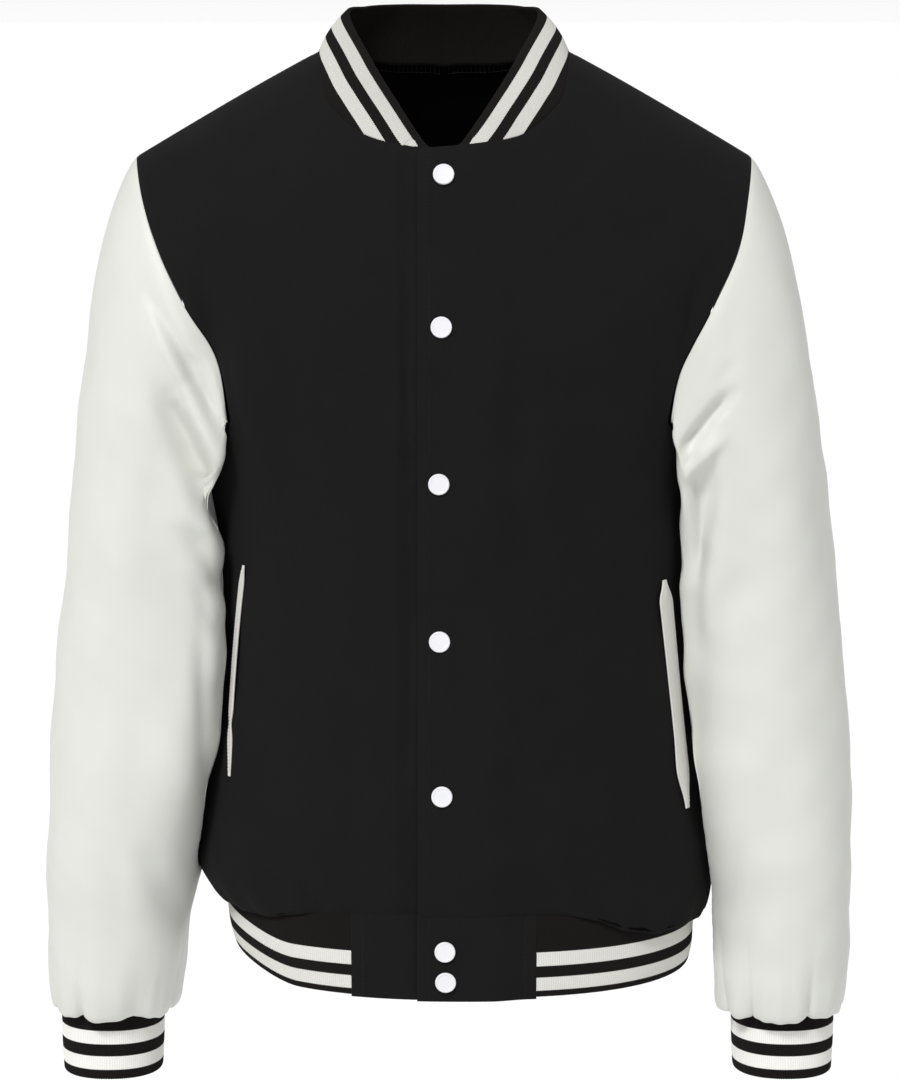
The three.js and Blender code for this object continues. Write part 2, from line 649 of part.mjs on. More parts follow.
// The seam loop of an armhole, moved a hair off the body's own edge, with the direction that leads away from it
function armholeLoop(side) {
  const lines = [armholeLine(side, false), armholeLine(side, true)];
  const full = 2 * Math.PI;
  const pointAt = (round) => {
    const share = ((round + full) % full) / Math.PI;
    const place = share <= 1 ? lines[0](share) : lines[1](2 - share);
    return { place, point: torsoPoint(place.turn, place.climb) };
  };
  return (round) => {
    const step = 0.02;
    const { place, point } = pointAt(round);
    const along = pointAt(round + step).point.sub(pointAt(round - step).point);
    const normal = torsoNormal(place.turn, place.climb);
    const away = along.cross(normal).multiplyScalar(-side).normalize();
    const under = smoothstep(-Math.cos(round), 0.1, 0.75);
    const off = away.clone().multiplyScalar(1 - under).addScaledVector(normal, under).normalize();
    return { point: point.addScaledVector(off, seamGap * lerp(1, 1.6, under)), away };
  };
}

// How a sleeve leaves its armhole, mixed from the four ways in capStart and the one at the front corner
function capLeave(round, side) {
  const [outward, forward] = [Math.cos(round), Math.sin(round)];
  const shares = { top: outward, front: forward, under: -outward, back: -forward };
  const leave = new THREE.Vector3();
  let pull = 0;
  for (const start of capStart) {
    const share = Math.max(shares[start.at], 0) ** 2;
    leave.add(new THREE.Vector3(side * start.x, start.y, start.z).multiplyScalar(share));
    pull += start.pull * share;
  }
  const beside = Math.exp(-(((round - capCorner.round) / capCorner.breadth) ** 2));
  const corner = new THREE.Vector3(side * capCorner.x, capCorner.y, capCorner.z).multiplyScalar(capCorner.pull);
  return leave.normalize().multiplyScalar(pull).lerp(corner, beside);
}

// A sleeve's surface: round the armhole at level -1, over the cap to the first ring at 0, then down the rings
function sleeveSurface(side) {
  const loop = armholeLoop(side);
  const folds = side > 0 ? sleeveFolds.left : sleeveFolds.right;
  const known = new Map();
  const loopAt = (round) => {
    const key = round.toFixed(5);
    if (!known.has(key)) known.set(key, loop(round));
    return known.get(key);
  };
  const ringAt = (round, level) => {
    const row = tableAt(sleeveRings, level);
    const puff = row.gather * (scallop(round, side) - 0.35);
    row.outer += puff;
    row.inner -= puff;
    row.front -= puff;
    row.back += puff;
    row.z -= smoothstep(level, 6.5, 9) * row.gather * scallop(round, side);
    const fuller = tableAt(fullerCorners, Math.min(level, fullerCorners.length - 1));
    const square = side > 0 ? fuller.left : fuller.right;
    return clearOfTorso(ringPoint(row, round, side, square), torsoClearance);
  };
  const capAt = (round, t) => {
    const last = ringAt(round, 0);
    const onward = ringAt(round, 0.1).sub(last).normalize();
    const first = loopAt(round).point.clone();
    onward.multiplyScalar(capEndPull * first.distanceTo(last));
    const t2 = t * t;
    const t3 = t2 * t;
    return first
      .multiplyScalar(2 * t3 - 3 * t2 + 1)
      .addScaledVector(capLeave(round, side), t3 - 2 * t2 + t)
      .addScaledVector(last, 3 * t2 - 2 * t3)
      .addScaledVector(onward, t3 - t2);
  };
  const base = (round, level) =>
    level < 0
      ? clearOfTorso(capAt(round, level + 1), torsoClearance * smoothstep(level, -0.99, -0.4))
      : ringAt(round, level);
  return (round, level, lift) => {
    const point = base(round, level);
    const step = 0.02;
    const end = sleeveRings.length - 1;
    const normal = normalOf(base, round, clamp(level, step - 1, end - step), step, step, side < 0);
    if (level === -1) {
      const { away } = loopAt(round);
      normal.addScaledVector(away, -Math.max(0, normal.dot(away))).normalize();
    }
    const isBack = Math.sin(round) < 0;
    const facing = smoothstep(Math.abs(Math.sin(round)), 0.05, 0.5) * smoothstep(level, -1, -0.75);
    const mirror = sleeveRings[0].mirror;
    const fold = facing * foldHeight(folds, side * (point.x - mirror), point.z, isBack);
    return point.addScaledVector(normal, fold + lift);
  };
}

function sleeve(name, side) {
  const surface = sleeveSurface(side);
  const levels = [...capLevels, ...ringLevels];
  const grid = (lift) =>
    levels.map((level) =>
      Array.from({ length: sleeveColumns }, (_, c) => surface((2 * Math.PI * c) / sleeveColumns, level, lift)),
    );
  return wallMesh(name, grid(0), grid(-sleeveWall), cloth.sleeve, true);
}

function cuff(name, side) {
  const columns = 28;
  const levels = [0, 0.5, 1, 1.5, 2];
  const thinner = { outer: -ribWall, inner: ribWall, front: ribWall, back: -ribWall };
  const grid = (share) =>
    levels.map((level) => {
      const row = tableAt(cuffRings, level);
      for (const key of Object.keys(thinner)) row[key] += share * thinner[key];
      return Array.from({ length: columns }, (_, c) => ringPoint(row, (2 * Math.PI * c) / columns, side));
    });
  return wallMesh(name, grid(0), grid(1), cloth.rib, true);
}

// The hem band's surface; lift moves it out
function hemPoint(turn, z, lift = 0) {
  const row = tableAt(hemSections, rowWhere(hemSections, "z", z, 0, hemSections.length - 1));
  const onFront = Math.cos(turn) > 0;
  const depth = (onFront ? row.front : row.back) + lift;
  const x = row.shift + (row.half + lift) * signedPower(Math.sin(turn), 2 / sectionPower);
  const y = (onFront ? -depth : depth) * Math.abs(Math.cos(turn)) ** (2 / sectionPower);
  return new THREE.Vector3(x, y, z);
}

function hemTurnAtX(x, z) {
  const row = tableAt(hemSections, rowWhere(hemSections, "z", z, 0, hemSections.length - 1));
  return Math.asin(clamp(signedPower((x - row.shift) / row.half, sectionPower / 2), -1, 1));
}

// The seam's height along the hem, which the cloth's overhang lowers towards the sides
function hemSeamHeight(turn) {
  const base = torsoBase(turn, -chestRow);
  const hang = blouse(base.x, Math.cos(turn) > 0);
  return base.z - seamGap + hemTuck * smoothstep(hang, 0.6, 1);
}

function hemRib(name) {
  const steps = 4;
  const gap = seamGap / 2;
  const grid = (lift) =>
    Array.from({ length: steps + 1 }, (_, r) =>
      Array.from({ length: hemColumns + 1 }, (_, c) => {
        const z0 = lerp(hemTop, hemBottom, r / steps);
        const from = hemTurnAtX(tabReach + gap, z0);
        const to = 2 * Math.PI + hemTurnAtX(-tabReach - gap, z0);
        const turn = lerp(from, to, c / hemColumns);
        const bottom = hemBottom + drawnHem * smoothstep(-hemPoint(turn, hemBottom).x, 105, 165);
        return hemPoint(turn, lerp(hemSeamHeight(turn), bottom, r / steps), lift);
      }),
    );
  return wallMesh(name, grid(0), grid(-ribWall), cloth.rib);
}

// The plain cloth tab that closes the hem at the front, in line with its front panel
function hemTab(name, side) {
  const edgeX = side > 0 ? closingEdge : closingLap;
  const columns = 7;
  const rows = 3;
  const gap = seamGap / 2;
  const grid = (lift) =>
    Array.from({ length: rows + 1 }, (_, r) =>
      Array.from({ length: columns + 1 }, (_, c) => {
        const z = lerp(hemTop - seamGap, tabBottom, r / rows);
        const x = lerp(edgeX, side * (tabReach - gap), c / columns);
        const lap = side > 0 ? lapAt(x) : 0;
        return hemPoint(hemTurnAtX(x, z), z, tabProud + lap + lift);
      }),
    );
  return wallMesh(name, grid(0), grid(-bodyWall), cloth.body);
}

// Where the collar meets the body on one side: the corners of the panels' neck edges and the middles between
// them, from the centre back to the collar's end. share is the part of the way along the seam.
function neckSeam(side) {
  const backLine = necklineLine(side, true);
  const frontLine = frontNeck(side);
  const corners = [];
  const half = backNeckColumns / 2;
  for (let i = 0; i <= half; i++) {
    const place = backLine(i / half);
    const climb = Math.min(place.climb, quarter - seamDrop);
    corners.push({ share: (neckPointShare * i) / half, place, point: torsoPoint(place.turn, climb) });
  }
  for (let i = 1; i <= neckSteps; i++) {
    const place = frontLine(1 - i / neckSteps);
    const share = lerp(neckPointShare, 1, i / neckSteps);
    corners.push({ share, place, point: frontPoint(side, place) });
  }
  const [before, last] = corners.slice(-2);
  const cut = (Math.abs(before.point.x) - collarEndX) / Math.abs(before.point.x - last.point.x);
  last.point = before.point.clone().lerp(last.point, cut);
  const steps = [];
  corners.forEach((corner, i) => {
    const next = corners[i + 1];
    steps.push(corner);
    if (!next || next === last) return;
    const point = corner.point.clone().lerp(next.point, 0.5);
    steps.push({ share: (corner.share + next.share) / 2, place: corner.place, point });
  });
  return steps.map(({ share, place, point }, i) => {
    const along = steps[Math.min(i + 1, steps.length - 1)].point.clone().sub(steps[Math.max(i - 1, 0)].point);
    const inward = along.cross(torsoNormal(place.turn, place.climb)).multiplyScalar(side).normalize();
    const normal = torsoNormal(place.turn, place.climb);
    const lap = normal.multiplyScalar(side > 0 && share > neckPointShare ? lapAt(point.x) : 0);
    return { side, share, inward, lap, point: point.clone().addScaledVector(inward, collarGap) };
  });
}

// The collar: a band from the neck seam to its free edge, tapering to nothing at the front
function collar(name) {
  const columns = [...neckSeam(-1).reverse(), ...neckSeam(1).slice(1)];
  const last = collarEdge.length - 1;
  for (const column of columns) {
    const edge = tableAt(collarEdge, rowWhere(collarEdge, "seam", column.share, 0, last));
    column.free = new THREE.Vector3(column.side * edge.x, edge.y, edge.z).add(column.lap);
  }
  columns.forEach((column, i) => {
    const next = columns[Math.min(i + 1, columns.length - 1)];
    const before = columns[Math.max(i - 1, 0)];
    const across = next.point.clone().add(next.free).sub(before.point).sub(before.free);
    column.normal = column.free.clone().sub(column.point).cross(across).normalize();
  });
  const rows = 5;
  const pointOf = ({ point, free, normal, inward }, w, lift) => {
    const height = point.distanceTo(free);
    const bulge = collarBulge * Math.sin(Math.PI * w) * smoothstep(height, 5, 40);
    const way = normal.clone();
    if (w === 0) way.addScaledVector(inward, -Math.max(0, way.dot(inward))).normalize();
    return point.clone().lerp(free, w).addScaledVector(way, bulge + lift);
  };
  const grid = (lift) =>
    Array.from({ length: rows + 1 }, (_, r) => columns.map((column) => pointOf(column, r / rows, lift)));
  return wallMesh(name, grid(0), grid(-ribWall), cloth.rib);
}

// A pocket welt lies on its front panel, widest at the middle and drawn in at both ends
function pocketWelt(name, welt, panel) {
  const steps = 12;
  const across = 3;
  const places = Array.from({ length: steps + 1 }, (_, r) => {
    const t = r / steps;
    const x = lerp(welt.x1, welt.x2, t) + welt.bend * 4 * t * (1 - t);
    const middle = torsoPlace(x, lerp(welt.z1, welt.z2, t), false);
    const ends = Math.min(smoothstep(t, 0, 0.1), 1 - smoothstep(t, 0.82, 1));
    const wide = lerp(welt.ends, welt.wide, ends);
    const step = 0.01;
    const here = torsoBase(middle.turn, middle.climb);
    const perTurn = torsoBase(middle.turn + step, middle.climb).distanceTo(here) / step;
    return Array.from({ length: across + 1 }, (_, c) => ({
      turn: middle.turn + ((c / across - 0.5) * wide) / perTurn,
      climb: middle.climb,
    }));
  });
  const grid = (lift) =>
    places.map((row) =>
      row.map((p) => panel(p.turn, p.climb).addScaledVector(torsoNormal(p.turn, p.climb), lift)),
    );
  const gap = 2 * seamGap;
  return wallMesh(name, grid(gap + weltWall), grid(gap), cloth.welt);
}

// A snap's cap: a low disc with a raised rim, lying on the cloth
function snapCap(name, point, normal) {
  const radius = snapDiameter / 2;
  const height = 1.9;
  const rim = 0.9;
  const profile = [
    [0, 0],
    [radius, 0],
    [radius, height - 0.5],
    [radius - 0.5, height],
    [radius - rim, height],
    [radius - rim - 0.4, height - 0.3],
    [0, height - 0.3],
  ].map(([r, h]) => new THREE.Vector2(r, h));
  const mesh = new THREE.Mesh(new THREE.LatheGeometry(profile, 16), cloth.snap);
  mesh.name = name;
  mesh.quaternion.setFromUnitVectors(new THREE.Vector3(0, 1, 0), normal);
  mesh.position.copy(point);
  return mesh;
}

const jacket = new THREE.Group();
jacket.add(frontPanel("front_right", -1), frontPanel("front_left", 1), backPanel("back"));
jacket.add(sleeve("sleeve_right", -1), sleeve("sleeve_left", 1));
jacket.add(cuff("cuff_right", -1), cuff("cuff_left", 1));
jacket.add(hemRib("hem_rib"), hemTab("hem_tab_right", -1), hemTab("hem_tab_left", 1));
jacket.add(collar("collar"));
jacket.add(pocketWelt("pocket_welt_right", welts.right, onFrontFaces(-1)));
jacket.add(pocketWelt("pocket_welt_left", welts.left, onFrontFaces(1)));
frontSnaps.forEach(({ x, z }, i) => {
  const place = torsoPlace(x, z, false);
  const point = torsoPoint(place.turn, place.climb, lapLift + snapGap);
  jacket.add(snapCap(`snap_${i + 1}`, point, torsoNormal(place.turn, place.climb)));
});
hemSnaps.forEach(({ x, z }, i) => {
  const turn = hemTurnAtX(x, z);
  const point = hemPoint(turn, z, tabProud + lapLift + seamGap);
  const normal = normalOf(hemPoint, turn, z, 0.02, 4, false);
  jacket.add(snapCap(`hem_snap_${i + 1}`, point, normal));
});

export default jacket;
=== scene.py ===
import math

import bpy
import numpy as np
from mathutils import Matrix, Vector


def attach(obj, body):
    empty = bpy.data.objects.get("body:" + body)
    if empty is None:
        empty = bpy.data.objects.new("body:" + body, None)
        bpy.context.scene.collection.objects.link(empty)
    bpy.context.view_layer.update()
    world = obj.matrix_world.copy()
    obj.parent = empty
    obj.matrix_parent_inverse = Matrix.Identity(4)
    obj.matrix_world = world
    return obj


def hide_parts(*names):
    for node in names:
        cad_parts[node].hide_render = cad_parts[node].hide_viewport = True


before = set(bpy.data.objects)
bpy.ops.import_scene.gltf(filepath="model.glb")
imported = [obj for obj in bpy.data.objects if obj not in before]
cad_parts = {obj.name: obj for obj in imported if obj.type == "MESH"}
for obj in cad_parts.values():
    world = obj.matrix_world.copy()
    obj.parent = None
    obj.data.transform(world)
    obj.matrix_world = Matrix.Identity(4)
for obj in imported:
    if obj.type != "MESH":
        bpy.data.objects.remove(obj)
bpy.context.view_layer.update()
print("solids loaded")

# Cloth and edges
cloth = {"bodyWall": 2.4, "sleeveWall": 1.6, "ribWall": 3.0, "seamTuck": 0.3, "seamSink": 0.9, "seamWidth": 3.5}

# Torso: level of fullest chest, shoulder line, and how square the sections are
chest = -260.0
chestRow, armpitRow, yokeRows = 10, 9, 6
shoulderTop, shoulderSlope, neckRound = 70.0, 0.615, 60.0
sectionPower = 2.35
chestHalf = 202.0  # half the width at the chest, used to turn a gap into an angle
neckPointX, shoulderPointX = 91.0, 226.0
blouseStart, blouseFull, drawnBlouse = 72.0, 160.0, 0.45
closingEdge, closingLap = -18.5, 17.0
lapFlat, lapFade, lapLift = 32.0, 60.0, 3.8
quarter = math.pi / 2
stitchInset = 8.6  # from an edge to its line of stitches
sleeveMiddle = 4.5  # the plane the two sleeves mirror about, near the top

# z, drop over the band, half width, front, back, shift
torsoSections = np.array([
    (-611.6, 16, 177.7, 136.6, 128.7, 13), (-607, 26, 182.5, 137.2, 135, 14), (-600, 20, 188.5, 138.4, 140, 11.5),
    (-588, 9, 192.5, 140.6, 141.5, 8), (-566, 2, 191, 143.6, 138, 7), (-530, 0, 184.5, 144.2, 128, 7.5),
    (-480, 0, 176, 143, 117, 8), (-420, 0, 172, 142, 112, 8), (-360, 0, 172.5, 141.4, 115, 7),
    (-303, 0, 182, 141, 121, 5), (chest, 0, 202, 140, 125, 3), (-220, 0, 219, 139.5, 127, 2),
    (-180, 0, 232, 139, 128, 1), (-140, 0, 243, 139, 128, 0.5), (-100, 0, 251, 139, 127, 0),
    (-60, 0, 257, 139, 126, 0), (-20, 0, 262, 139, 125, 0),
])

# Seam lines seen from the front: x, z, sideways shift
frontNeckline = [(0, -66, 0), (20, -65, 0), (35, -62, 0), (47, -58, 0), (62, -50, 0), (76, -38, 0), (86, -22, 0)]
backNeckline = [(0, -8, 0), (40, -6.5, 0), (70, -2.5, 0), (84, 0.5, 0)]
frontArmhole = [(220, -100, 1), (209.5, -136, 3.5), (192, -172, 4), (175, -207, 5), (164.5, -240, 4),
                (164, -266, 3), (170, -287, 3)]
backArmhole = [(217, -110, 1), (208, -150, 2), (200, -195, 3), (194, -235, 4), (189, -265, 4), (186, -288, 4)]

# Folds: on the back, x1, z1, x2, z2, sideways bend, breadth, depth; a ridge has a negative depth
torsoFolds = [
    (0, -172, -165, -146, -330, 0, 15, 4.5), (0, 178, -150, 156, -300, 0, 13, 4),
    (0, -150, -500, -95, -600, 0, 18, 3), (0, 160, -505, 112, -600, 0, 18, 3),
    (1, -168, -150, -140, -360, 0, 18, 5), (1, 170, -150, 146, -360, 0, 18, 5),
    (1, -110, -470, -60, -600, 0, 22, 4), (1, 118, -480, 74, -600, 0, 22, 4),
    # dark hollows beside the armholes, and the groove along the closing edge
    (0, -173, -150, -164, -262, 0, 7, 4.5), (0, 184, -150, 169, -262, 0, 6, 4),
    (0, -26, -40, -26, -660, 0, 2.8, 3.2),
    # soft lines beside the armholes and down the fronts
    (0, -158, -185, -138, -290, 5, 7, 1.6), (0, 160, -190, 140, -300, -5, 7, 1.5),
    (0, -120, -140, -96, -330, -6, 16, 1.5), (0, 112, -130, 98, -340, 6, 17, 1.4),
    (0, -66, -420, -54, -590, 4, 13, 1.3), (0, 84, -400, 70, -590, -5, 14, 1.3),
    (0, -104, -592, -86, -610, 2, 5, 2.4), (0, -122, -586, -112, -606, -1, 5, 1.6),
    (0, 96, -590, 108, -608, 2, 6, 1.5), (0, -40, -330, -34, -470, 3, 15, 1.0),
    (0, 52, -200, 46, -350, 3, 15, 0.9), (0, -70, -85, -120, -150, 6, 11, 1.2),
    (0, 74, -85, 122, -150, -6, 11, 1.2),
    # the back, drawn from the shoulders to the underarms and down to the band
    (1, -150, -190, -128, -300, 5, 8, 1.8), (1, 152, -195, 130, -310, -5, 8, 1.8),
    (1, -60, -120, -30, -330, 8, 17, 1.5), (1, 66, -110, 40, -320, -8, 18, 1.5),
    (1, 8, -330, 2, -590, 5, 16, 1.4), (1, -150, -400, -138, -590, 4, 12, 1.8),
    (1, 156, -410, 144, -590, -4, 12, 1.8),
    (1, -40, -40, 40, -40, 9, 10, 1.6),
]
sleeveFolds = {
    -1: [
        # the ridge from the front of the armhole to the underarm, and the deep hollow under it
        (0, 210, -186, 161, -296, 0, 8, -5), (0, 209, -236, 157, -348, 3, 9, 13),
        (0, 200, -270, 176, -330, 4, 8, 5),
        (0, 215, -166, 166, -256, 2, 5.5, 5.5), (0, 208, -158, 166, -232, 0, 6, -2),
        (0, 190, -335, 160, -392, 4, 10, 6), (0, 186, -372, 162, -424, 2, 8, 3),
        (0, 178, -392, 168, -560, -3, 8, 4),
        (0, 226, -560, 196, -640, 0, 13, 3), (0, 214, -340, 186, -440, 6, 14, 1.6),
        (0, 187, -214, 170, -224, 2, 3, 1.9), (0, 182, -196, 173, -233, 2, 3, 1.9),
        (0, 172, -220, 163, -246, -2, 3, 2.2),
        (0, 204, -240, 182, -228, 1, 2.2, 1.4), (0, 176, -232, 164, -252, -2, 2.6, 1.8),
        (0, 199, -224, 190, -246, 1, 2, 1.0),
        (0, 202, -252, 184, -240, 1, 2.0, 1.2), (0, 186, -300, 164, -314, 2, 3, 1.6),
        (0, 206, -212, 196, -230, 1, 2, 0.9),
        (0, 226, -250, 216, -340, 4, 13, 1.2), (0, 240, -420, 212, -520, -6, 15, 1.4),
        (0, 190, -470, 178, -560, 4, 10, 2.0), (0, 250, -560, 240, -660, 3, 11, 1.2),
        (1, 226, -190, 186, -290, 0, 13, 6), (1, 232, -400, 196, -450, 0, 14, 5),
        (1, 210, -170, 182, -250, 3, 8, 3.2), (1, 240, -240, 190, -330, -5, 11, 4.4),
        (1, 214, -330, 182, -410, 4, 9, 2.6), (1, 250, -470, 214, -560, 6, 14, 2.0),
        (1, 236, -560, 214, -650, 3, 12, 2.4),
    ],
    1: [
        # the short crease at the underarm, the ridge under it and the long hollow beside the body
        (0, 203, -236, 165, -284, 1, 5.5, 7), (0, 197, -268, 166, -303, 0, 5, -3.5),
        (0, 180, -290, 171, -372, -3, 9, 12),
        (0, 190, -276, 184, -340, -2, 5, 3), (0, 178, -356, 176, -430, 2, 8, 5),
        (0, 196, -252, 190, -262, 0, 3, -1),
        (0, 178, -264, 166, -276, 1, 2.4, 1.4), (0, 176, -282, 166, -292, 1, 2.2, 1.3),
        (0, 206, -214, 192, -236, 2, 7, 1.6),
        (0, 208, -370, 178, -440, 0, 12, 3), (0, 180, -430, 178, -560, 2, 9, 3),
        (0, 230, -590, 204, -660, 0, 13, 3),
        (0, 238, -300, 214, -420, 6, 15, 1.3), (0, 212, -110, 200, -210, 3, 10, 1.6),
        (0, 246, -480, 222, -580, -6, 15, 1.3), (0, 214, -560, 200, -630, 3, 9, 1.6),
        (1, 224, -205, 186, -300, 0, 13, 6), (1, 236, -415, 198, -470, 0, 14, 5),
        (1, 212, -180, 184, -262, 3, 8, 3.0), (1, 240, -250, 192, -340, -5, 11, 4.2),
        (1, 216, -340, 184, -420, 4, 9, 2.6), (1, 252, -480, 216, -570, 6, 14, 2.0),
        (1, 238, -570, 216, -655, 3, 12, 2.4),
    ],
}


def smooth(value, low, high):
    t = np.clip((np.asarray(value, float) - low) / (high - low), 0, 1)
    return t * t * (3 - 2 * t)


def mix(a, b, share):
    return a + (b - a) * share


def signedPower(value, power):
    return np.sign(value) * np.abs(value) ** power


def lengthOf(vectors):
    return np.sqrt((vectors ** 2).sum(-1))


def unit(vectors):
    return vectors / np.maximum(lengthOf(vectors), 1e-9)[..., None]


def tableAt(table, at):  # a smooth line through all rows, read at row numbers that may lie between two
    rows = np.vstack([2 * table[0] - table[1], table, 2 * table[-1] - table[-2]])
    at = np.asarray(at, float)
    i = np.clip(np.floor(at).astype(int), 0, len(table) - 2)
    f = (at - i)[..., None]
    a, b, c, d = rows[i], rows[i + 1], rows[i + 2], rows[i + 3]
    return b + 0.5 * f * (c - a + f * (2 * a - 5 * b + 4 * c - d + f * (3 * (b - c) + d - a)))


def rowWhere(table, column, value, low, high):  # the row number at which a column has a value
    value = np.asarray(value, float)
    a, b = np.full(value.shape, float(low)), np.full(value.shape, float(high))
    rising = table[high][column] > table[low][column]
    for _ in range(32):
        middle = (a + b) / 2
        onward = (tableAt(table, middle)[..., column] < value) == rising
        a, b = np.where(onward, middle, a), np.where(onward, b, middle)
    return (a + b) / 2


def ridgeHeight(x):
    return shoulderTop - shoulderSlope * np.hypot(x, neckRound)


def torsoLevel(climb):
    return chestRow + np.where(climb > 0, yokeRows * np.sin(np.maximum(climb, 0)), climb)


def blouse(x, onFront):  # how fully the cloth hangs over the band: less where the wearer's right side is drawn up
    return (1 - drawnBlouse * smooth(-x, 90, 160)) * np.where(onFront, smooth(np.abs(x), blouseStart, blouseFull), 1)


def torsoBase(turn, climb):
    z, drop, half, front, back, shift = np.moveaxis(tableAt(torsoSections, torsoLevel(climb)), -1, 0)
    onFront = np.cos(turn) > 0
    x = shift + half * signedPower(np.sin(turn), 2 / sectionPower)
    depth = np.where(onFront, -front, back) * np.abs(np.cos(turn)) ** (2 / sectionPower)
    y = depth * np.where(climb > 0, np.cos(climb), 1)
    hang = drop * blouse(x, onFront)
    high = chest + (ridgeHeight(x) - chest) * np.sin(climb)
    return np.stack([x, y, np.where(climb > 0, high, z - hang)], -1)


def normalOf(surface, u, v, du, dv):
    across = surface(u + du, v) - surface(u - du, v)
    along = surface(u, v + dv) - surface(u, v - dv)
    return unit(np.cross(across, along))


def torsoNormal(turn, climb):
    step = 0.012
    return normalOf(torsoBase, turn, np.clip(climb, step - chestRow, quarter - step), step, step)


def foldHeight(folds, x, z, isBack):
    height = np.zeros(np.shape(x))
    for back, x1, z1, x2, z2, bend, breadth, depth in folds:
        dx, dz = x2 - x1, z2 - z1
        long = math.hypot(dx, dz)
        along = ((x - x1) * dx + (z - z1) * dz) / long ** 2
        away = ((x - x1) * dz - (z - z1) * dx) / long - bend * 4 * along * (1 - along)
        taper = smooth(along, -0.15, 0.3) * (1 - smooth(along, 0.7, 1.15))
        height -= depth * taper * np.exp(-((away / breadth) ** 2)) * (isBack == bool(back))
    return height


def torsoPuckers(turn, climb):  # gathers in the body just above the hem band, with finer ones between
    level = climb + chestRow
    nearHem = smooth(level, 0, 1.2) * (1 - smooth(level, 1.8, 4))
    onTabs = np.where(np.cos(turn) > 0, 1 - smooth(np.abs(np.sin(turn)), 0.2, 0.45), 0)
    fine = 0.2 * np.cos(71 * turn + 1.3 * np.sin(9 * turn)) * (1 - smooth(level, 1.2, 2.6))
    return nearHem * (1 - onTabs) * (0.5 * np.cos(30 * turn) + fine)


def unevenness(x, z, seed):  # slow waves, as in cloth that has been worn and hung
    total = np.zeros(np.shape(x))
    for turnedBy, length, size in ((0.3, 83, 0.5), (1.2, 57, 0.35), (2.1, 38, 0.2), (2.7, 121, 0.6), (0.8, 24, 0.09)):
        angle = turnedBy + seed
        total += size * np.sin(2 * math.pi * (x * math.cos(angle) + z * math.sin(angle)) / length + 7 * seed)
    return total


def torsoPoint(turn, climb, lift=0.0):
    base = torsoBase(turn, climb)
    isBack = np.cos(turn) <= 0
    side = smooth(np.abs(np.cos(turn)), 0.02, 0.35)
    folds = side * foldHeight(torsoFolds, base[..., 0], base[..., 2], isBack) + torsoPuckers(turn, climb)
    return base + torsoNormal(turn, climb) * (folds + lift)[..., None]


def turnAtX(x, climb):
    row = tableAt(torsoSections, torsoLevel(climb))
    return np.arcsin(np.clip(signedPower((x - row[..., 5]) / row[..., 2], sectionPower / 2), -1, 1))


def torsoPlace(x, z, isBack):  # the place on the torso whose seen position is x and z
    x, z = np.asarray(x, float), np.asarray(z, float)
    high = np.arcsin(np.clip((z - chest) / (ridgeHeight(x) - chest), 0, 1))
    climb = np.where(z > chest, high, rowWhere(torsoSections, 0, z, 4, chestRow) - chestRow)
    turn = turnAtX(x, climb)
    return (math.pi - turn if isBack else turn), climb


def lineThrough(turns, climbs):  # a line over the torso, read by its share of the real length
    places = np.stack([turns, climbs], -1)
    fine = tableAt(places, np.arange((len(places) - 1) * 24 + 1) / 24)
    points = torsoBase(fine[:, 0], fine[:, 1])
    far = np.concatenate([[0], np.cumsum(lengthOf(np.diff(points, axis=0)))])

    def read(share):
        want = np.clip(share, 0, 1) * far[-1]
        return np.interp(want, far, fine[:, 0]), np.interp(want, far, fine[:, 1])

    return read


def seamLine(rows, side, isBack, before=None, after=None):
    x, z, shift = np.array(rows, float).T
    turns, climbs = torsoPlace(side * x + shift, z, isBack)
    if before is not None:
        turns, climbs = np.append(before[0], turns), np.append(before[1], climbs)
    if after is not None:
        turns, climbs = np.append(turns, after[0]), np.append(climbs, after[1])
    return lineThrough(turns, climbs)


def shoulderTurn(x, isBack):
    return float(torsoPlace(x, 0, isBack)[0])


def armholeLine(side, isBack):
    underTurn = math.pi * 1.5 if isBack and side < 0 else side * quarter
    rows = backArmhole if isBack else frontArmhole
    top = (shoulderTurn(side * shoulderPointX, isBack), quarter)
    return seamLine(rows, side, isBack, before=top, after=(underTurn, armpitRow - chestRow))


def necklineLine(side, isBack):
    rows = backNeckline if isBack else frontNeckline
    return seamLine(rows, side, isBack, after=(shoulderTurn(side * neckPointX, isBack), quarter))


def patch(bottom, top, left, right):  # fills the area between four border lines, each given over 0 to 1
    def read(s, t):
        found = []
        for k in (0, 1):
            ends = ((bottom, 0.0), (bottom, 1.0), (top, 0.0), (top, 1.0))
            corner = [float(line(np.array([at]))[k][0]) for line, at in ends]
            sides = (1 - t) * bottom(s)[k] + t * top(s)[k] + (1 - s) * left(t)[k] + s * right(t)[k]
            found.append(sides - (1 - s) * (1 - t) * corner[0] - s * (1 - t) * corner[1]
                         - (1 - s) * t * corner[2] - s * t * corner[3])
        return found

    return read


def steps(count, length, rounded=(True, True)):  # shares from 0 to 1, crowded at a rounded edge
    edge = np.array([0.0, 0.12, 0.4, 0.8, 1.3, 2.4]) / length
    shares = np.linspace(0, 1, count + 1)
    if rounded[0]:
        shares = np.concatenate([edge, shares[shares > edge[-1] * 1.5]])
    if rounded[1]:
        shares = np.concatenate([shares[shares < 1 - edge[-1] * 1.5], 1 - edge[::-1]])
    return shares


def borderDistance(points, sides):
    across = np.cumsum(np.pad(lengthOf(np.diff(points, axis=1)), ((0, 0), (1, 0))), axis=1)
    along = np.cumsum(np.pad(lengthOf(np.diff(points, axis=0)), ((1, 0), (0, 0))), axis=0)
    choices = {"left": across, "right": across[:, -1:] - across, "bottom": along, "top": along[-1:] - along}
    return np.minimum.reduce([choices[side] for side in sides])


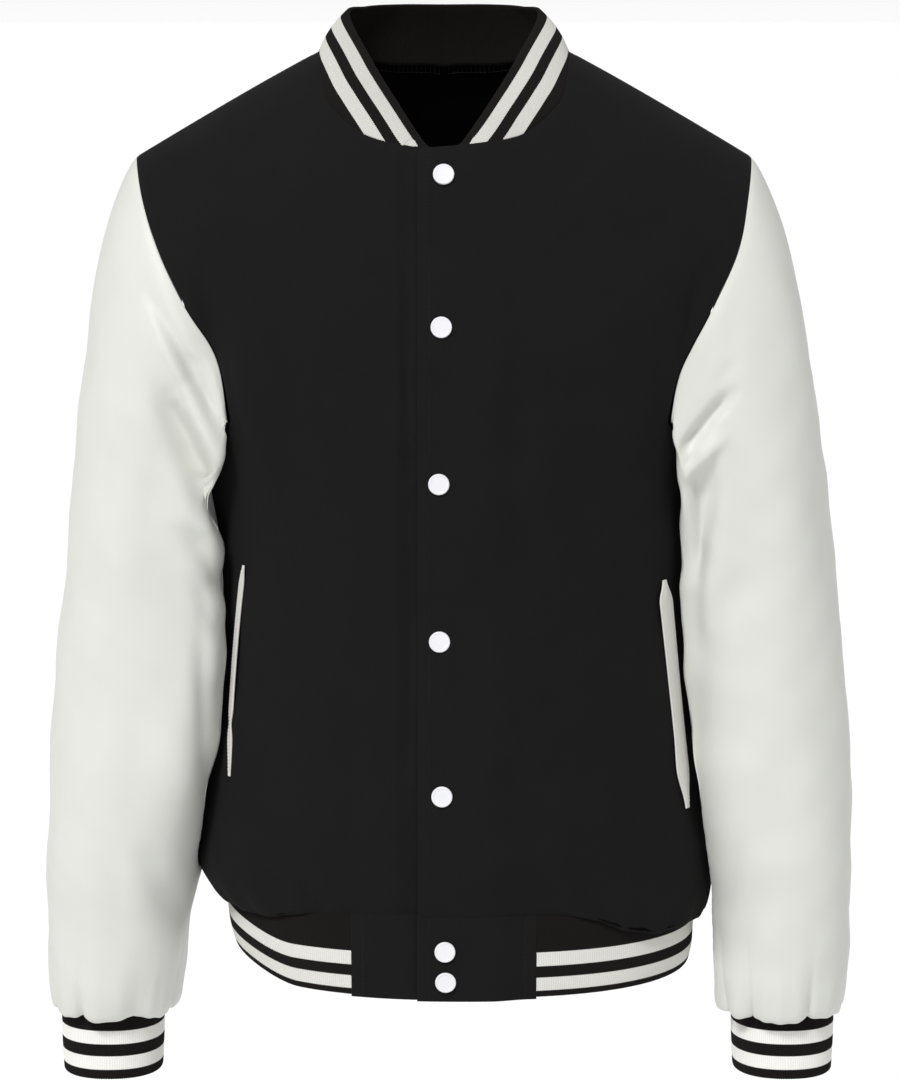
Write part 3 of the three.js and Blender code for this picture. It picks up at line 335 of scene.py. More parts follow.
def rounding(distance, wall):  # how far a face draws in towards the middle of its wall near an edge
    radius = wall / 2
    near = np.clip(1 - distance / radius, 0, 1)
    return radius * 0.94 * (1 - np.sqrt(1 - near ** 2))


def makeMesh(name, outer, inner, ring, material, uv, uvInner=None, values=None, paintedShadeInside=None):
    rows, columns = outer.shape[:2]
    half = rows * columns
    spans = columns if ring else columns - 1
    r, c = np.meshgrid(np.arange(rows - 1), np.arange(spans), indexing="ij")

    def at(i, j):
        return i * columns + j % columns

    uvInner = uv if uvInner is None else uvInner
    corners = [(r, c), (r, c + 1), (r + 1, c + 1), (r + 1, c)]
    faces = [np.stack([at(i, j) for i, j in corners], -1).reshape(-1, 4)]
    coords = [np.stack([uv[i, j] for i, j in corners], -2).reshape(-1, 4, 2)]
    faces.append(np.stack([half + at(i, j) for i, j in corners[::-1]], -1).reshape(-1, 4))
    coords.append(np.stack([uvInner[i, j] for i, j in corners[::-1]], -2).reshape(-1, 4, 2))

    def rim(a, b):
        faces.append(np.stack([at(*a), half + at(*a), half + at(*b), at(*b)], -1).reshape(-1, 4))
        coords.append(np.stack([uv[a], uvInner[a], uvInner[b], uv[b]], -2).reshape(-1, 4, 2))

    j, i = np.arange(spans), np.arange(rows - 1)
    rim((0 * j, j), (0 * j, j + 1))
    rim((0 * j + rows - 1, j + 1), (0 * j + rows - 1, j))
    if not ring:
        rim((i + 1, 0 * i), (i, 0 * i))
        rim((i, 0 * i + columns - 1), (i + 1, 0 * i + columns - 1))
    faces, coords = np.concatenate(faces), np.concatenate(coords)
    points = np.concatenate([outer.reshape(-1, 3), inner.reshape(-1, 3)]) / 1000
    corner = points[faces]
    doubled = np.cross(corner[:, 1] - corner[:, 0], corner[:, 2] - corner[:, 0]) + np.cross(
        corner[:, 2] - corner[:, 0], corner[:, 3] - corner[:, 0])
    if (corner.mean(1) * doubled).sum() < 0:
        faces, coords = faces[:, ::-1], coords[:, ::-1]
    mesh = bpy.data.meshes.new(name)
    mesh.vertices.add(len(points))
    mesh.vertices.foreach_set("co", points.ravel())
    mesh.loops.add(faces.size)
    mesh.loops.foreach_set("vertex_index", faces.ravel())
    mesh.polygons.add(len(faces))
    mesh.polygons.foreach_set("loop_start", np.arange(0, faces.size, 4))
    mesh.polygons.foreach_set("use_smooth", np.ones(len(faces), bool))
    mesh.update(calc_edges=True)
    layer = mesh.uv_layers.new(name="cut")
    layer.uv.foreach_set("vector", (coords / 1000).ravel())
    for key, (outside, inside) in (values or {}).items():
        attribute = mesh.attributes.new(key, "FLOAT", "POINT")
        attribute.data.foreach_set("value", np.concatenate([outside.ravel(), inside.ravel()]).astype(np.float32))
    mesh.materials.append(material)
    # the inside faces take a second material, darkened as painted shade
    if paintedShadeInside:
        mesh.materials.append(paintedShadeInside)
        within = (rows - 1) * spans
        mesh.polygons.foreach_set("material_index", np.repeat([0, 1, 0], [within, within, len(faces) - 2 * within]))
    obj = bpy.data.objects.new(name, mesh)
    bpy.context.scene.collection.objects.link(obj)
    return obj


def cutUv(points, ring=False):  # how far across and along the cloth each point lies
    if ring:
        points = np.concatenate([points, points[:, :1]], axis=1)
    across = np.cumsum(np.pad(lengthOf(np.diff(points, axis=1)), ((0, 0), (1, 0))), axis=1)
    along = np.cumsum(np.pad(lengthOf(np.diff(points, axis=0)), ((1, 0), (0, 0))), axis=0)
    return np.stack([np.broadcast_to(across.mean(0), across.shape), along], -1)


def linearColour(text):  # sRGB hex to the linear numbers that the shader works in
    parts = [int(text[i:i + 2], 16) / 255 for i in (1, 3, 5)]
    return [v / 12.92 if v <= 0.04045 else ((v + 0.055) / 1.055) ** 2.4 for v in parts] + [1.0]


def addNode(tree, kind, settings=None, values=None, links=None):
    node = tree.nodes.new(kind)
    for key, value in (settings or {}).items():
        setattr(node, key, value)
    for key, value in (values or {}).items():
        node.inputs[key].default_value = value
    for key, socket in (links or {}).items():
        tree.links.new(socket, node.inputs[key])
    return node


def newMaterial(name, values):
    material = bpy.data.materials.new(name)
    material.use_nodes = True
    tree = material.node_tree
    shader = tree.nodes["Principled BSDF"]
    for key, value in values.items():
        shader.inputs[key].default_value = value
    return material, tree, shader


def blendColours(tree, factor, dark, light):
    colours = {6: linearColour(dark), 7: linearColour(light)}
    node = addNode(tree, "ShaderNodeMix", {"data_type": "RGBA"}, colours, {0: factor})
    return node.outputs[2]


def addMath(tree, operation, *inputs):
    node = addNode(tree, "ShaderNodeMath", {"operation": operation})
    for i, value in enumerate(inputs):
        if isinstance(value, (int, float)):
            node.inputs[i].default_value = value
        else:
            tree.links.new(value, node.inputs[i])
    return node.outputs[0]


# Brushed sweat cloth: short matt fuzz that hardly shines, over a faint diagonal face
bodySettings = {"dark": "#141313", "light": "#1c1b1b", "fuzzMm": 0.7, "twillMm": 1.3, "bumpMm": 0.12}


def bodyMaterial():
    material, tree, shader = newMaterial("brushedSweatCloth", {
        "Roughness": 0.95, "IOR": 1.5, "Specular IOR Level": 0.06, "Sheen Weight": 0.015, "Sheen Roughness": 0.5})
    place = addNode(tree, "ShaderNodeTexCoord")
    fuzz = addNode(tree, "ShaderNodeTexNoise", values={"Scale": 1000 / bodySettings["fuzzMm"], "Detail": 3.0},
                   links={"Vector": place.outputs["Object"]})
    broad = addNode(tree, "ShaderNodeTexNoise", values={"Scale": 30.0, "Detail": 4.0},
                    links={"Vector": place.outputs["Object"]})
    split = addNode(tree, "ShaderNodeSeparateXYZ", links={"Vector": place.outputs["UV"]})
    diagonal = addMath(tree, "ADD", split.outputs[0], split.outputs[1])
    twill = addMath(tree, "SINE", addMath(tree, "MULTIPLY", diagonal, 2 * math.pi * 1000 / bodySettings["twillMm"]))
    mottle = addMath(tree, "MULTIPLY_ADD", fuzz.outputs[0], 0.6, addMath(tree, "MULTIPLY", broad.outputs[0], 0.4))
    mottled = blendColours(tree, mottle, bodySettings["dark"], bodySettings["light"])
    tree.links.new(mottled, shader.inputs["Base Color"])
    height = addMath(tree, "MULTIPLY_ADD", twill, 0.16, fuzz.outputs[0])
    bump = addNode(tree, "ShaderNodeBump", values={"Strength": 0.6, "Distance": bodySettings["bumpMm"] / 1000},
                   links={"Height": height})
    tree.links.new(bump.outputs[0], shader.inputs["Normal"])
    return material


# Coated cloth for sleeves and welts: off-white, smooth, with the soft low shine of artificial leather
coatSettings = {"sleeve": ("#cccdc7", "#d2d3cd"), "welt": ("#cfccc8", "#d6d4cf"), "grainMm": 0.9, "roughness": 0.46}


def coatMaterial(name, colours):
    material, tree, shader = newMaterial(name, {
        "Roughness": coatSettings["roughness"], "IOR": 1.5, "Specular IOR Level": 0.35})
    place = addNode(tree, "ShaderNodeTexCoord")
    grain = addNode(tree, "ShaderNodeTexVoronoi", {"feature": "F1"}, {"Scale": 1000 / coatSettings["grainMm"]},
                    {"Vector": place.outputs["Object"]})
    broad = addNode(tree, "ShaderNodeTexNoise", values={"Scale": 22.0, "Detail": 3.0},
                    links={"Vector": place.outputs["Object"]})
    tree.links.new(blendColours(tree, broad.outputs[0], *colours), shader.inputs["Base Color"])
    bump = addNode(tree, "ShaderNodeBump", values={"Strength": 0.3, "Distance": 0.00004},
                   links={"Height": grain.outputs["Distance"]})
    tree.links.new(bump.outputs[0], shader.inputs["Normal"])
    rough = addMath(tree, "MULTIPLY_ADD", broad.outputs[0], 0.12, coatSettings["roughness"] - 0.06)
    tree.links.new(rough, shader.inputs["Roughness"])
    return material


# Rib knit: matt yarn, dark with two light stripes knitted in at set distances from the free edge
ribSettings = {"dark": "#161413", "light": "#c9c8c3", "cuffLight": "#e9e8e4", "hemLight": "#d9d8d3",
               "pitchMm": 1.7, "heightMm": 0.32, "courseMm": 1.2}


def ribMaterial(name, stripes, light):
    material, tree, shader = newMaterial(name, {
        "Roughness": 0.9, "IOR": 1.5, "Specular IOR Level": 0.08, "Sheen Weight": 0.02, "Sheen Roughness": 0.5})
    place = addNode(tree, "ShaderNodeTexCoord")
    split = addNode(tree, "ShaderNodeSeparateXYZ", links={"Vector": place.outputs["UV"]})
    perMetre = 2 * math.pi * 1000
    wale = addMath(tree, "COSINE", addMath(tree, "MULTIPLY", split.outputs[0], perMetre / ribSettings["pitchMm"]))
    away = addMath(tree, "MULTIPLY_ADD", wale, 0.00014, split.outputs[1])
    total = None
    for start, end in stripes:
        inside = addMath(tree, "MULTIPLY", addMath(tree, "GREATER_THAN", away, start / 1000),
                         addMath(tree, "LESS_THAN", away, end / 1000))
        total = inside if total is None else addMath(tree, "ADD", total, inside)
    striped = blendColours(tree, total, ribSettings["dark"], light)
    # painted shade: the stripe colour is darkened by up to 12% in the valleys between the ribs
    ribValleyShade = addMath(tree, "MULTIPLY_ADD", wale, 0.06, 0.94)
    shade = addNode(tree, "ShaderNodeVectorMath", {"operation": "SCALE"}, links={0: striped, "Scale": ribValleyShade})
    tree.links.new(shade.outputs[0], shader.inputs["Base Color"])
    shifted = addMath(tree, "MULTIPLY", wale, 1.2)
    course = addMath(tree, "SINE", addMath(tree, "MULTIPLY_ADD", split.outputs[1],
                                           perMetre / ribSettings["courseMm"], shifted))
    bump = addNode(tree, "ShaderNodeBump", values={"Strength": 0.5, "Distance": 0.00012}, links={"Height": course})
    tree.links.new(bump.outputs[0], shader.inputs["Normal"])
    return material


def plainMaterial(name, colour, roughness, level=0.5):
    material, tree, shader = newMaterial(name, {"Roughness": roughness, "IOR": 1.5, "Specular IOR Level": level})
    place = addNode(tree, "ShaderNodeTexCoord")
    noise = addNode(tree, "ShaderNodeTexNoise", values={"Scale": 400.0, "Detail": 2.0},
                    links={"Vector": place.outputs["Object"]})
    shader.inputs["Base Color"].default_value = linearColour(colour)
    varied = addMath(tree, "MULTIPLY_ADD", noise.outputs[0], 0.08, roughness - 0.04)
    tree.links.new(varied, shader.inputs["Roughness"])
    return material


bodyCloth = bodyMaterial()
paintedShadeInner = plainMaterial("paintedShadeInnerCloth", "#080808", 0.95, 0.03)  # the body's own black, darkened further as painted shade for the shadowed inside of the cloth seen at the neck
sleeveCloth = coatMaterial("coatedSleeveCloth", coatSettings["sleeve"])
weltCloth = coatMaterial("coatedWeltCloth", coatSettings["welt"])
collarKnit = ribMaterial("collarRibKnit", [(8, 18.3), (26.6, 36.9)], ribSettings["light"])
cuffKnit = ribMaterial("cuffRibKnit", [(8, 18), (27, 37)], ribSettings["cuffLight"])
hemKnit = ribMaterial("hemRibKnit", [(6, 16), (24.5, 34.8)], ribSettings["hemLight"])
snapPlastic = plainMaterial("mouldedSnapPlastic", "#dfdfe3", 0.32)  # smooth and a little glossy
thread = plainMaterial("blackSewingThread", "#151414", 0.7, 0.25)  # thin and dark, lighter where it catches light
lockThread = plainMaterial("greyOverlockThread", "#3c3c3d", 0.75, 0.25)  # the grey looping seen inside the neck
print("materials made")


def groupWith(name, numbers):
    tree = bpy.data.node_groups.new(name, "GeometryNodeTree")
    tree.interface.new_socket("Geometry", in_out="INPUT", socket_type="NodeSocketGeometry")
    for key in numbers:
        tree.interface.new_socket(key, in_out="INPUT", socket_type="NodeSocketFloat")
    tree.interface.new_socket("Material", in_out="INPUT", socket_type="NodeSocketMaterial")
    tree.interface.new_socket("Geometry", in_out="OUTPUT", socket_type="NodeSocketGeometry")
    return tree, addNode(tree, "NodeGroupInput")


def endGroup(tree, start, geometry):
    real = addNode(tree, "GeometryNodeRealizeInstances", links={"Geometry": geometry})
    coloured = addNode(tree, "GeometryNodeSetMaterial",
                       links={"Geometry": real.outputs[0], "Material": start.outputs["Material"]})
    addNode(tree, "NodeGroupOutput", links={"Geometry": coloured.outputs[0]})


def ribTree():  # raises rounded ribs along the normals, from how far across the band each point lies
    tree, start = groupWith("raisedRibs", ["Pitch", "Height"])
    across = addNode(tree, "GeometryNodeInputNamedAttribute", {"data_type": "FLOAT"}, {"Name": "across"})
    weight = addNode(tree, "GeometryNodeInputNamedAttribute", {"data_type": "FLOAT"}, {"Name": "ribWeight"})
    turns = addMath(tree, "DIVIDE", across.outputs["Attribute"], start.outputs["Pitch"])
    wave = addMath(tree, "COSINE", addMath(tree, "MULTIPLY", turns, 2 * math.pi))
    profile = addMath(tree, "MULTIPLY", wave, 0.5)
    height = addMath(tree, "MULTIPLY", addMath(tree, "MULTIPLY", profile, start.outputs["Height"]),
                     weight.outputs["Attribute"])
    normal = addNode(tree, "GeometryNodeInputNormal")
    offset = addNode(tree, "ShaderNodeVectorMath", {"operation": "SCALE"},
                     links={0: normal.outputs[0], "Scale": height})
    moved = addNode(tree, "GeometryNodeSetPosition",
                    links={"Geometry": start.outputs["Geometry"], "Offset": offset.outputs[0]})
    endGroup(tree, start, moved.outputs[0])
    return tree


def stitchTree():  # lays one thread stitch at each pitch along every line, turned along it
    tree, start = groupWith("sewnStitches", ["Pitch", "Length", "Thickness"])
    curve = addNode(tree, "GeometryNodeMeshToCurve", links={"Mesh": start.outputs["Geometry"]})
    spaced = addNode(tree, "GeometryNodeResampleCurve", links={"Curve": curve.outputs[0]})
    spaced.mode = "LENGTH"
    tree.links.new(start.outputs["Pitch"], spaced.inputs["Length"])
    tangent = addNode(tree, "GeometryNodeInputTangent")
    turned = addNode(tree, "FunctionNodeAlignRotationToVector", {"axis": "X"}, links={"Vector": tangent.outputs[0]})
    shape = addNode(tree, "GeometryNodeMeshUVSphere", values={"Segments": 6, "Rings": 4, "Radius": 0.5})
    size = addNode(tree, "ShaderNodeCombineXYZ", links={"X": start.outputs["Length"], "Y": start.outputs["Thickness"],
                                                        "Z": start.outputs["Thickness"]})
    placed = addNode(tree, "GeometryNodeInstanceOnPoints",
                     links={"Points": spaced.outputs[0], "Instance": shape.outputs[0],
                            "Rotation": turned.outputs[0], "Scale": size.outputs[0]})
    endGroup(tree, start, placed.outputs[0])
    return tree


ribGroup, stitchGroup = ribTree(), stitchTree()


def grown(obj, tree, values):  # runs a node tree on the object and keeps its result as a plain mesh
    modifier = obj.modifiers.new("grow", "NODES")
    modifier.node_group = tree
    for item in tree.interface.items_tree:
        if item.in_out == "INPUT" and item.name in values:
            modifier[item.identifier] = values[item.name]
    obj.update_tag()
    bpy.context.view_layer.update()
    made = bpy.data.meshes.new_from_object(obj.evaluated_get(bpy.context.evaluated_depsgraph_get()))
    made.name = obj.name
    old = obj.data
    obj.modifiers.remove(modifier)
    obj.data = made
    bpy.data.meshes.remove(old)
    made.polygons.foreach_set("use_smooth", np.ones(len(made.polygons), bool))
    return obj


pieces = {}


def keep(obj, node=None):
    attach(obj, "root")
    if node:
        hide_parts(node)
    pieces[obj.name] = obj
    return obj


# Fronts: how many cells across, up the lower part and up the yoke
frontSettings = {"across": 62, "lower": 92, "yoke": 84}
bottomSteps = np.array([0, 0.012, 0.04, 0.08, 0.13, 0.24])
allSides = ("left", "right", "bottom", "top")


def lapAt(x):
    return lapLift * (1 - smooth(x, lapFlat, lapFade))


def frontNeck(side):
    line = necklineLine(side, False)
    cornerTurn, cornerClimb = torsoPlace(closingEdge if side > 0 else closingLap, frontNeckline[0][1], False)
    centreTurn, centreClimb = line(np.array([0.0]))

    def read(along):
        turn, climb = line(along)
        beyond = 1 - smooth(along, 0, 0.35)
        climb = climb + (cornerClimb - centreClimb) * beyond
        return turn + (cornerTurn - centreTurn) * beyond, np.minimum(climb, quarter)

    return read


def frontPoint(side, turn, climb, lift=0.0):
    lap = lapAt(torsoBase(turn, climb)[..., 0]) if side > 0 else 0.0
    return torsoPoint(turn, climb, lap + lift)


def yokePatch(bottom, top, left, right, across, up):
    s, t = np.meshgrid(across, up)
    return patch(bottom, top, left, right)(s, t)


def lowerRows(count):
    shares = np.linspace(0, 1, count + 1)[1:] ** 1.12
    return np.concatenate([bottomSteps, 0.24 + (9 - 0.24) * shares])


def clothWall(name, turns, climbs, point, sides, material, node):
    base = point(turns, climbs, np.zeros_like(turns))
    away = borderDistance(base, sides)
    sink = cloth["seamSink"] * np.exp(-((away / cloth["seamWidth"]) ** 2))
    drawn = rounding(away, cloth["bodyWall"])
    waves = unevenness(base[..., 0], base[..., 2], 0.4 if node == "back" else 1.7) * smooth(away, 2, 30)
    outer = point(turns, climbs, waves - drawn - sink)
    inner = point(turns, climbs, waves - cloth["bodyWall"] + drawn - 0.6 * sink)
    obj = makeMesh(name, outer, inner, False, material, cutUv(base), paintedShadeInside=paintedShadeInner)
    return keep(obj, node)


def makeFront(side, name, node):
    edgeX = closingEdge if side > 0 else closingLap
    gapTurn = -cloth["seamTuck"] / 2 / chestHalf
    sideTurn, low = side * (quarter - gapTurn), armpitRow - chestRow
    neck, armhole, neckShare = frontNeck(side), armholeLine(side, False), 1 - 6 / 16
    across = steps(frontSettings["across"], 215)
    topTurns = shoulderTurn(side * neckPointX, False), shoulderTurn(side * shoulderPointX, False)

    def bottom(s):
        start = turnAtX(edgeX, np.full(np.shape(s), float(low)))
        return mix(start, sideTurn, s), np.full(np.shape(s), float(low))

    def top(s):
        return mix(*topTurns, s), np.full(np.shape(s), quarter)

    def left(t):
        turnNeck, climbNeck = neck(np.clip((t - neckShare) / (1 - neckShare), 0, 1))
        climbEdge = mix(low, float(neck(np.array([0.0]))[1][0]), np.minimum(t / neckShare, 1))
        onNeck = t >= neckShare
        return np.where(onNeck, turnNeck, turnAtX(edgeX, climbEdge)), np.where(onNeck, climbNeck, climbEdge)

    def right(t):
        turn, climb = armhole(1 - t)
        return np.where(t <= 0, sideTurn, turn), np.minimum(climb, quarter)

    rows = lowerRows(frontSettings["lower"])
    lowClimb = np.broadcast_to(rows[:, None] - chestRow, (len(rows), len(across)))
    lowTurn = mix(turnAtX(edgeX, lowClimb), sideTurn, across[None])
    up = steps(frontSettings["yoke"], 240, (False, True))[1:]
    upTurn, upClimb = yokePatch(bottom, top, left, right, across, up)
    turns, climbs = np.vstack([lowTurn, upTurn]), np.vstack([lowClimb, upClimb])

    def point(turn, climb, lift):
        return frontPoint(side, turn, climb, lift)

    clothWall(name, turns, climbs, point, allSides, bodyCloth, node)


makeFront(-1, "frontRightCloth", "front_right")
makeFront(1, "frontLeftCloth", "front_left")
print("fronts made")

# Back: how many cells across, up the lower part and up the yoke
backSettings = {"across": 132, "lower": 92, "yoke": 84}


def makeBack():
    gapTurn = -cloth["seamTuck"] / 2 / chestHalf
    start, end, low = quarter + gapTurn, 3 * quarter - gapTurn, armpitRow - chestRow
    armholes = armholeLine(1, True), armholeLine(-1, True)
    necks = necklineLine(1, True), necklineLine(-1, True)
    shoulders = [(shoulderTurn(side * shoulderPointX, True), shoulderTurn(side * neckPointX, True))
                 for side in (1, -1)]
    neckStart = 1 / 3
    across = steps(backSettings["across"], 560)

    def bottom(s):
        return mix(start, end, s), np.full(np.shape(s), float(low))

    def top(s):
        onNeck = np.clip(np.abs(0.5 - s) / (0.5 - neckStart), 0, 1)
        first, second = necks[0](onNeck), necks[1](onNeck)
        turn = np.where(s < 0.5, first[0], second[0])
        climb = np.minimum(np.where(s < 0.5, first[1], second[1]), quarter)
        turn = np.where(s <= neckStart, mix(*shoulders[0], s / neckStart), turn)
        turn = np.where(s >= 1 - neckStart, mix(*shoulders[1], (1 - s) / neckStart), turn)
        return turn, np.where((s <= neckStart) | (s >= 1 - neckStart), quarter, climb)

    def border(which, turnAtFoot):
        def read(t):
            turn, climb = armholes[which](1 - t)
            return np.where(t <= 0, turnAtFoot, turn), np.minimum(climb, quarter)
        return read

    rows = lowerRows(backSettings["lower"])
    lowClimb = np.broadcast_to(rows[:, None] - chestRow, (len(rows), len(across)))
    lowTurn = np.broadcast_to(mix(start, end, across)[None], lowClimb.shape)
    upTurn, upClimb = yokePatch(bottom, top, border(0, start), border(1, end), across,
                                steps(backSettings["yoke"], 250, (False, True))[1:])
    turns, climbs = np.vstack([lowTurn, upTurn]), np.vstack([lowClimb, upClimb])
    clothWall("backCloth", turns, climbs, torsoPoint, allSides, bodyCloth, "back")


makeBack()
print("back made")

# Sleeves
# z, mirror plane, outer, inner, front, back, lean, gather
sleeveRings = np.array([
    (-345, 4.5, 281.5, 160, -93, 70, 0, 0), (-400, 4.5, 287.5, 160, -93, 66, 0.01, 0),
    (-460, 4.5, 293, 162, -95, 60, 0.02, 0), (-520, 4.5, 297.5, 166, -98, 53, 0.02, 0),
    (-580, 4.5, 299.5, 181, -97, 45, 0.02, 0), (-630, 4.3, 299.8, 192, -92, 38, 0.02, 0.3),
    (-664, 4, 299.5, 197, -87, 33, 0.02, 1.2), (-686, 3.5, 297.5, 201.5, -83, 29.5, 0.02, 3),
    (-700, 3, 294.6, 205, -77.5, 25.5, 0.02, 5), (-704, 2.8, 292.6, 208, -72.6, 22, 0.02, 3.4),
    (-698.5, 2.8, 290.3, 212.7, -68.5, 18.2, 0.02, 0),
])
# How the cloth leaves the armhole at the top, front, underarm and back: a direction and how strongly
capStart = ((0.56, 0, -0.83, 200), (0.8, -0.16, -0.58, 120), (0.35, 0, -0.94, 36), (0.76, 0.14, -0.63, 125))
fullerCorners = {-1: np.array([[4.5], [3.5], [2], [0.8], [0]]), 1: np.array([[3], [1], [0], [0], [0]])}
capCorner = (-0.12, -0.36, -0.9, 95)  # and at the front corner beside the body
sleeveSettings = {"round": 168, "cap": 66, "down": 150, "clearance": 5.0, "power": 2.2, "gathers": 8, "endPull": 0.95}


def ringPoint(rows, around, side, square=None):  # square makes the corner at the front, beside the body, fuller
    z, mirror, outer, inner, front, back, lean = [rows[..., i] for i in range(7)]
    middleX, middleY = (outer + inner) / 2, (front + back) / 2
    out, ahead = [signedPower(wave, 2 / sleeveSettings["power"]) for wave in (np.cos(around), np.sin(around))]
    if square is not None:
        power = sleeveSettings["power"] + square * (out < 0) * (ahead > 0)
        full = (np.abs(out) ** power + np.abs(ahead) ** power) ** (-1 / power)
        out, ahead = out * full, ahead * full
    x = middleX + (outer - inner) / 2 * out
    y = middleY - (back - front) / 2 * ahead
    return np.stack([mirror + side * x, y, z - lean * (y - middleY)], -1)


def scallop(around, side):
    uneven = around + 0.12 * np.sin(2 * around + side) + 0.07 * np.sin(5 * around)
    return np.abs(np.cos(sleeveSettings["gathers"] / 2 * uneven)) ** 0.7


def clearOfTorso(points, near):
    level = rowWhere(torsoSections, 0, np.maximum(points[..., 2], -600), 1, chestRow)
    row = tableAt(torsoSections, level)
    x, y = points[..., 0] - row[..., 5], points[..., 1]
    depth = np.where(y < 0, row[..., 3], row[..., 4]) + near
    reach = (np.abs(x) / (row[..., 2] + near)) ** sectionPower + (np.abs(y) / depth) ** sectionPower
    scale = np.where((reach < 1) & (points[..., 2] <= chest), np.maximum(reach, 1e-6) ** (-1 / sectionPower), 1)
    return np.stack([row[..., 5] + x * scale, y * scale, points[..., 2]], -1)


def armholeLoop(side):
    front, back = armholeLine(side, False), armholeLine(side, True)

    def pointAt(around):
        share = np.mod(around, 2 * math.pi) / math.pi
        first, second = front(np.minimum(share, 1)), back(np.clip(2 - share, 0, 1))
        turn, climb = np.where(share <= 1, first[0], second[0]), np.where(share <= 1, first[1], second[1])
        return turn, climb, torsoPoint(turn, climb)

    def read(around):
        turn, climb, point = pointAt(around)
        along = pointAt(around + 0.02)[2] - pointAt(around - 0.02)[2]
        normal = torsoNormal(turn, climb)
        away = unit(-side * np.cross(along, normal))
        under = smooth(-np.cos(around), 0.1, 0.75)[..., None]
        off = unit(away * (1 - under) + normal * under)
        return point - away * cloth["seamTuck"] * (1 - under) + off * 0.5 * under, away

    return read


def capLeave(around, side):
    shares = [np.maximum(v, 0) ** 2 for v in (np.cos(around), np.sin(around), -np.cos(around), -np.sin(around))]
    way = sum(share[..., None] * np.array([side * x, y, z]) for share, (x, y, z, pull) in zip(shares, capStart))
    pull = sum(share * start[3] for share, start in zip(shares, capStart))
    x, y, z, cornerPull = capCorner
    beside = np.exp(-((np.mod(around, 2 * math.pi) - math.radians(133)) / math.radians(24)) ** 2)
    way = mix(unit(way) * pull[..., None], np.array([side * x, y, z]) * cornerPull, beside[..., None])
    return way


def sleeveSurface(side, columns):
    loopPoints, loopAway = armholeLoop(side)(columns)

    def loopAt(around):
        wrapped = np.mod(around, 2 * math.pi)
        grid = np.append(columns, 2 * math.pi)
        closed = np.vstack([loopPoints, loopPoints[:1]])
        return np.stack([np.interp(wrapped, grid, closed[:, k]) for k in range(3)], -1)

    def ringAt(around, level):
        rows = tableAt(sleeveRings, level).copy()
        waves = scallop(around, side)
        gather = rows[..., 7]
        puff = gather * (waves - 0.35)
        for column, sign in ((2, 1), (3, -1), (4, -1), (5, 1)):
            rows[..., column] += sign * puff
        rows[..., 0] -= smooth(level, 6.5, 9) * gather * waves
        fuller = tableAt(fullerCorners[side], np.minimum(level, 4))[..., 0]
        return clearOfTorso(ringPoint(rows, around, side, fuller), sleeveSettings["clearance"])

    def base(around, level):
        around, level = np.broadcast_arrays(around, level)
        t = (np.clip(level, -1, 0) + 1)[..., None]
        last = ringAt(around, np.zeros(level.shape))
        onward = unit(ringAt(around, np.full(level.shape, 0.1)) - last)
        first = loopAt(around)
        onward = onward * (sleeveSettings["endPull"] * lengthOf(last - first))[..., None]
        cap = (first * (2 * t ** 3 - 3 * t ** 2 + 1) + capLeave(around, side) * (t ** 3 - 2 * t ** 2 + t)
               + last * (3 * t ** 2 - 2 * t ** 3) + onward * (t ** 3 - t ** 2))
        cap = clearOfTorso(cap, sleeveSettings["clearance"] * smooth(level, -0.99, -0.4))
        return np.where((level < 0)[..., None], cap, ringAt(around, np.maximum(level, 0)))

    def read(around, level, lift):
        points = base(around, level)
        step, end = 0.02, len(sleeveRings) - 1
        normal = normalOf(base, around, np.clip(level, step - 1, end - step), step, step) * side
        edge = (level <= -1)[..., None]
        trimmed = unit(normal - loopAway[None] * np.maximum(0, (normal * loopAway[None]).sum(-1))[..., None])
        normal = np.where(edge, trimmed, normal)
        outwards = side * (points[..., 0] - sleeveMiddle)
        isBack = np.sin(around) < 0
        facing = smooth(np.abs(np.sin(around)), 0.05, 0.5) * smooth(level, -1, -0.75)
        folds = facing * foldHeight(sleeveFolds[side], outwards, points[..., 2], isBack)
        waves = unevenness(points[..., 1] + outwards * 0.8, points[..., 2], 2.3 + side) * smooth(level, -0.95, -0.5)
        pleats = smooth(level, 5.0, 8.2) * (1 - smooth(level, 8.6, 10))
        fine = 0.35 * np.cos(23 * around + 1.7 * np.sin(3 * around + side))
        waves = waves + pleats * (fine - 0.6 * (1 - smooth(scallop(around, side), 0.1, 0.5)))
        return points + normal * (folds + waves + lift)[..., None]

    return read


def makeSleeve(side, name, node):
    columns = np.linspace(0, 2 * math.pi, sleeveSettings["round"] + 1)[:-1]
    surface = sleeveSurface(side, columns)
    capLevels = np.concatenate([[-1, -0.9985, -0.995, -0.99, -0.982], np.linspace(-0.97, 0, sleeveSettings["cap"])])
    down = np.concatenate([np.linspace(0, 6, 105)[1:], np.linspace(6, 10, sleeveSettings["down"] - 104)[1:]])
    around, level = np.meshgrid(columns, np.concatenate([capLevels, down]))
    base = surface(around, level, np.zeros(around.shape))
    away = borderDistance(base, ("bottom",))
    sink = 0.9 * np.exp(-((away / 4) ** 2))
    drawn = rounding(away, cloth["sleeveWall"])
    outer = surface(around, level, -drawn - sink)
    inner = surface(around, level, drawn - sink * 0.7 - cloth["sleeveWall"])
    obj = makeMesh(name, outer, inner, True, sleeveCloth, cutUv(base, True))
    keep(obj, node)


makeSleeve(-1, "sleeveRightCloth", "sleeve_right")
makeSleeve(1, "sleeveLeftCloth", "sleeve_left")
print("sleeves made")

# Rib bands: rows from the free edge, whose fold is round, to the seam
bandSettings = {"rows": 12, "perRib": 4, "cuffHigh": 57.5, "cuffRound": 258.0, "hemHigh": 60.0, "tabHigh": 61.0,
                "collarHigh": 50.0}


def bandRows(depth, count):
    edge = np.array([0, 0.1, 0.4, 0.85, 1.5]) / depth
    return np.concatenate([edge, np.linspace(1.5 / depth, 1, count)[1:]])


def ribColumns(length):  # four columns to each rib
    return int(round(length / ribSettings["pitchMm"])) * bandSettings["perRib"]


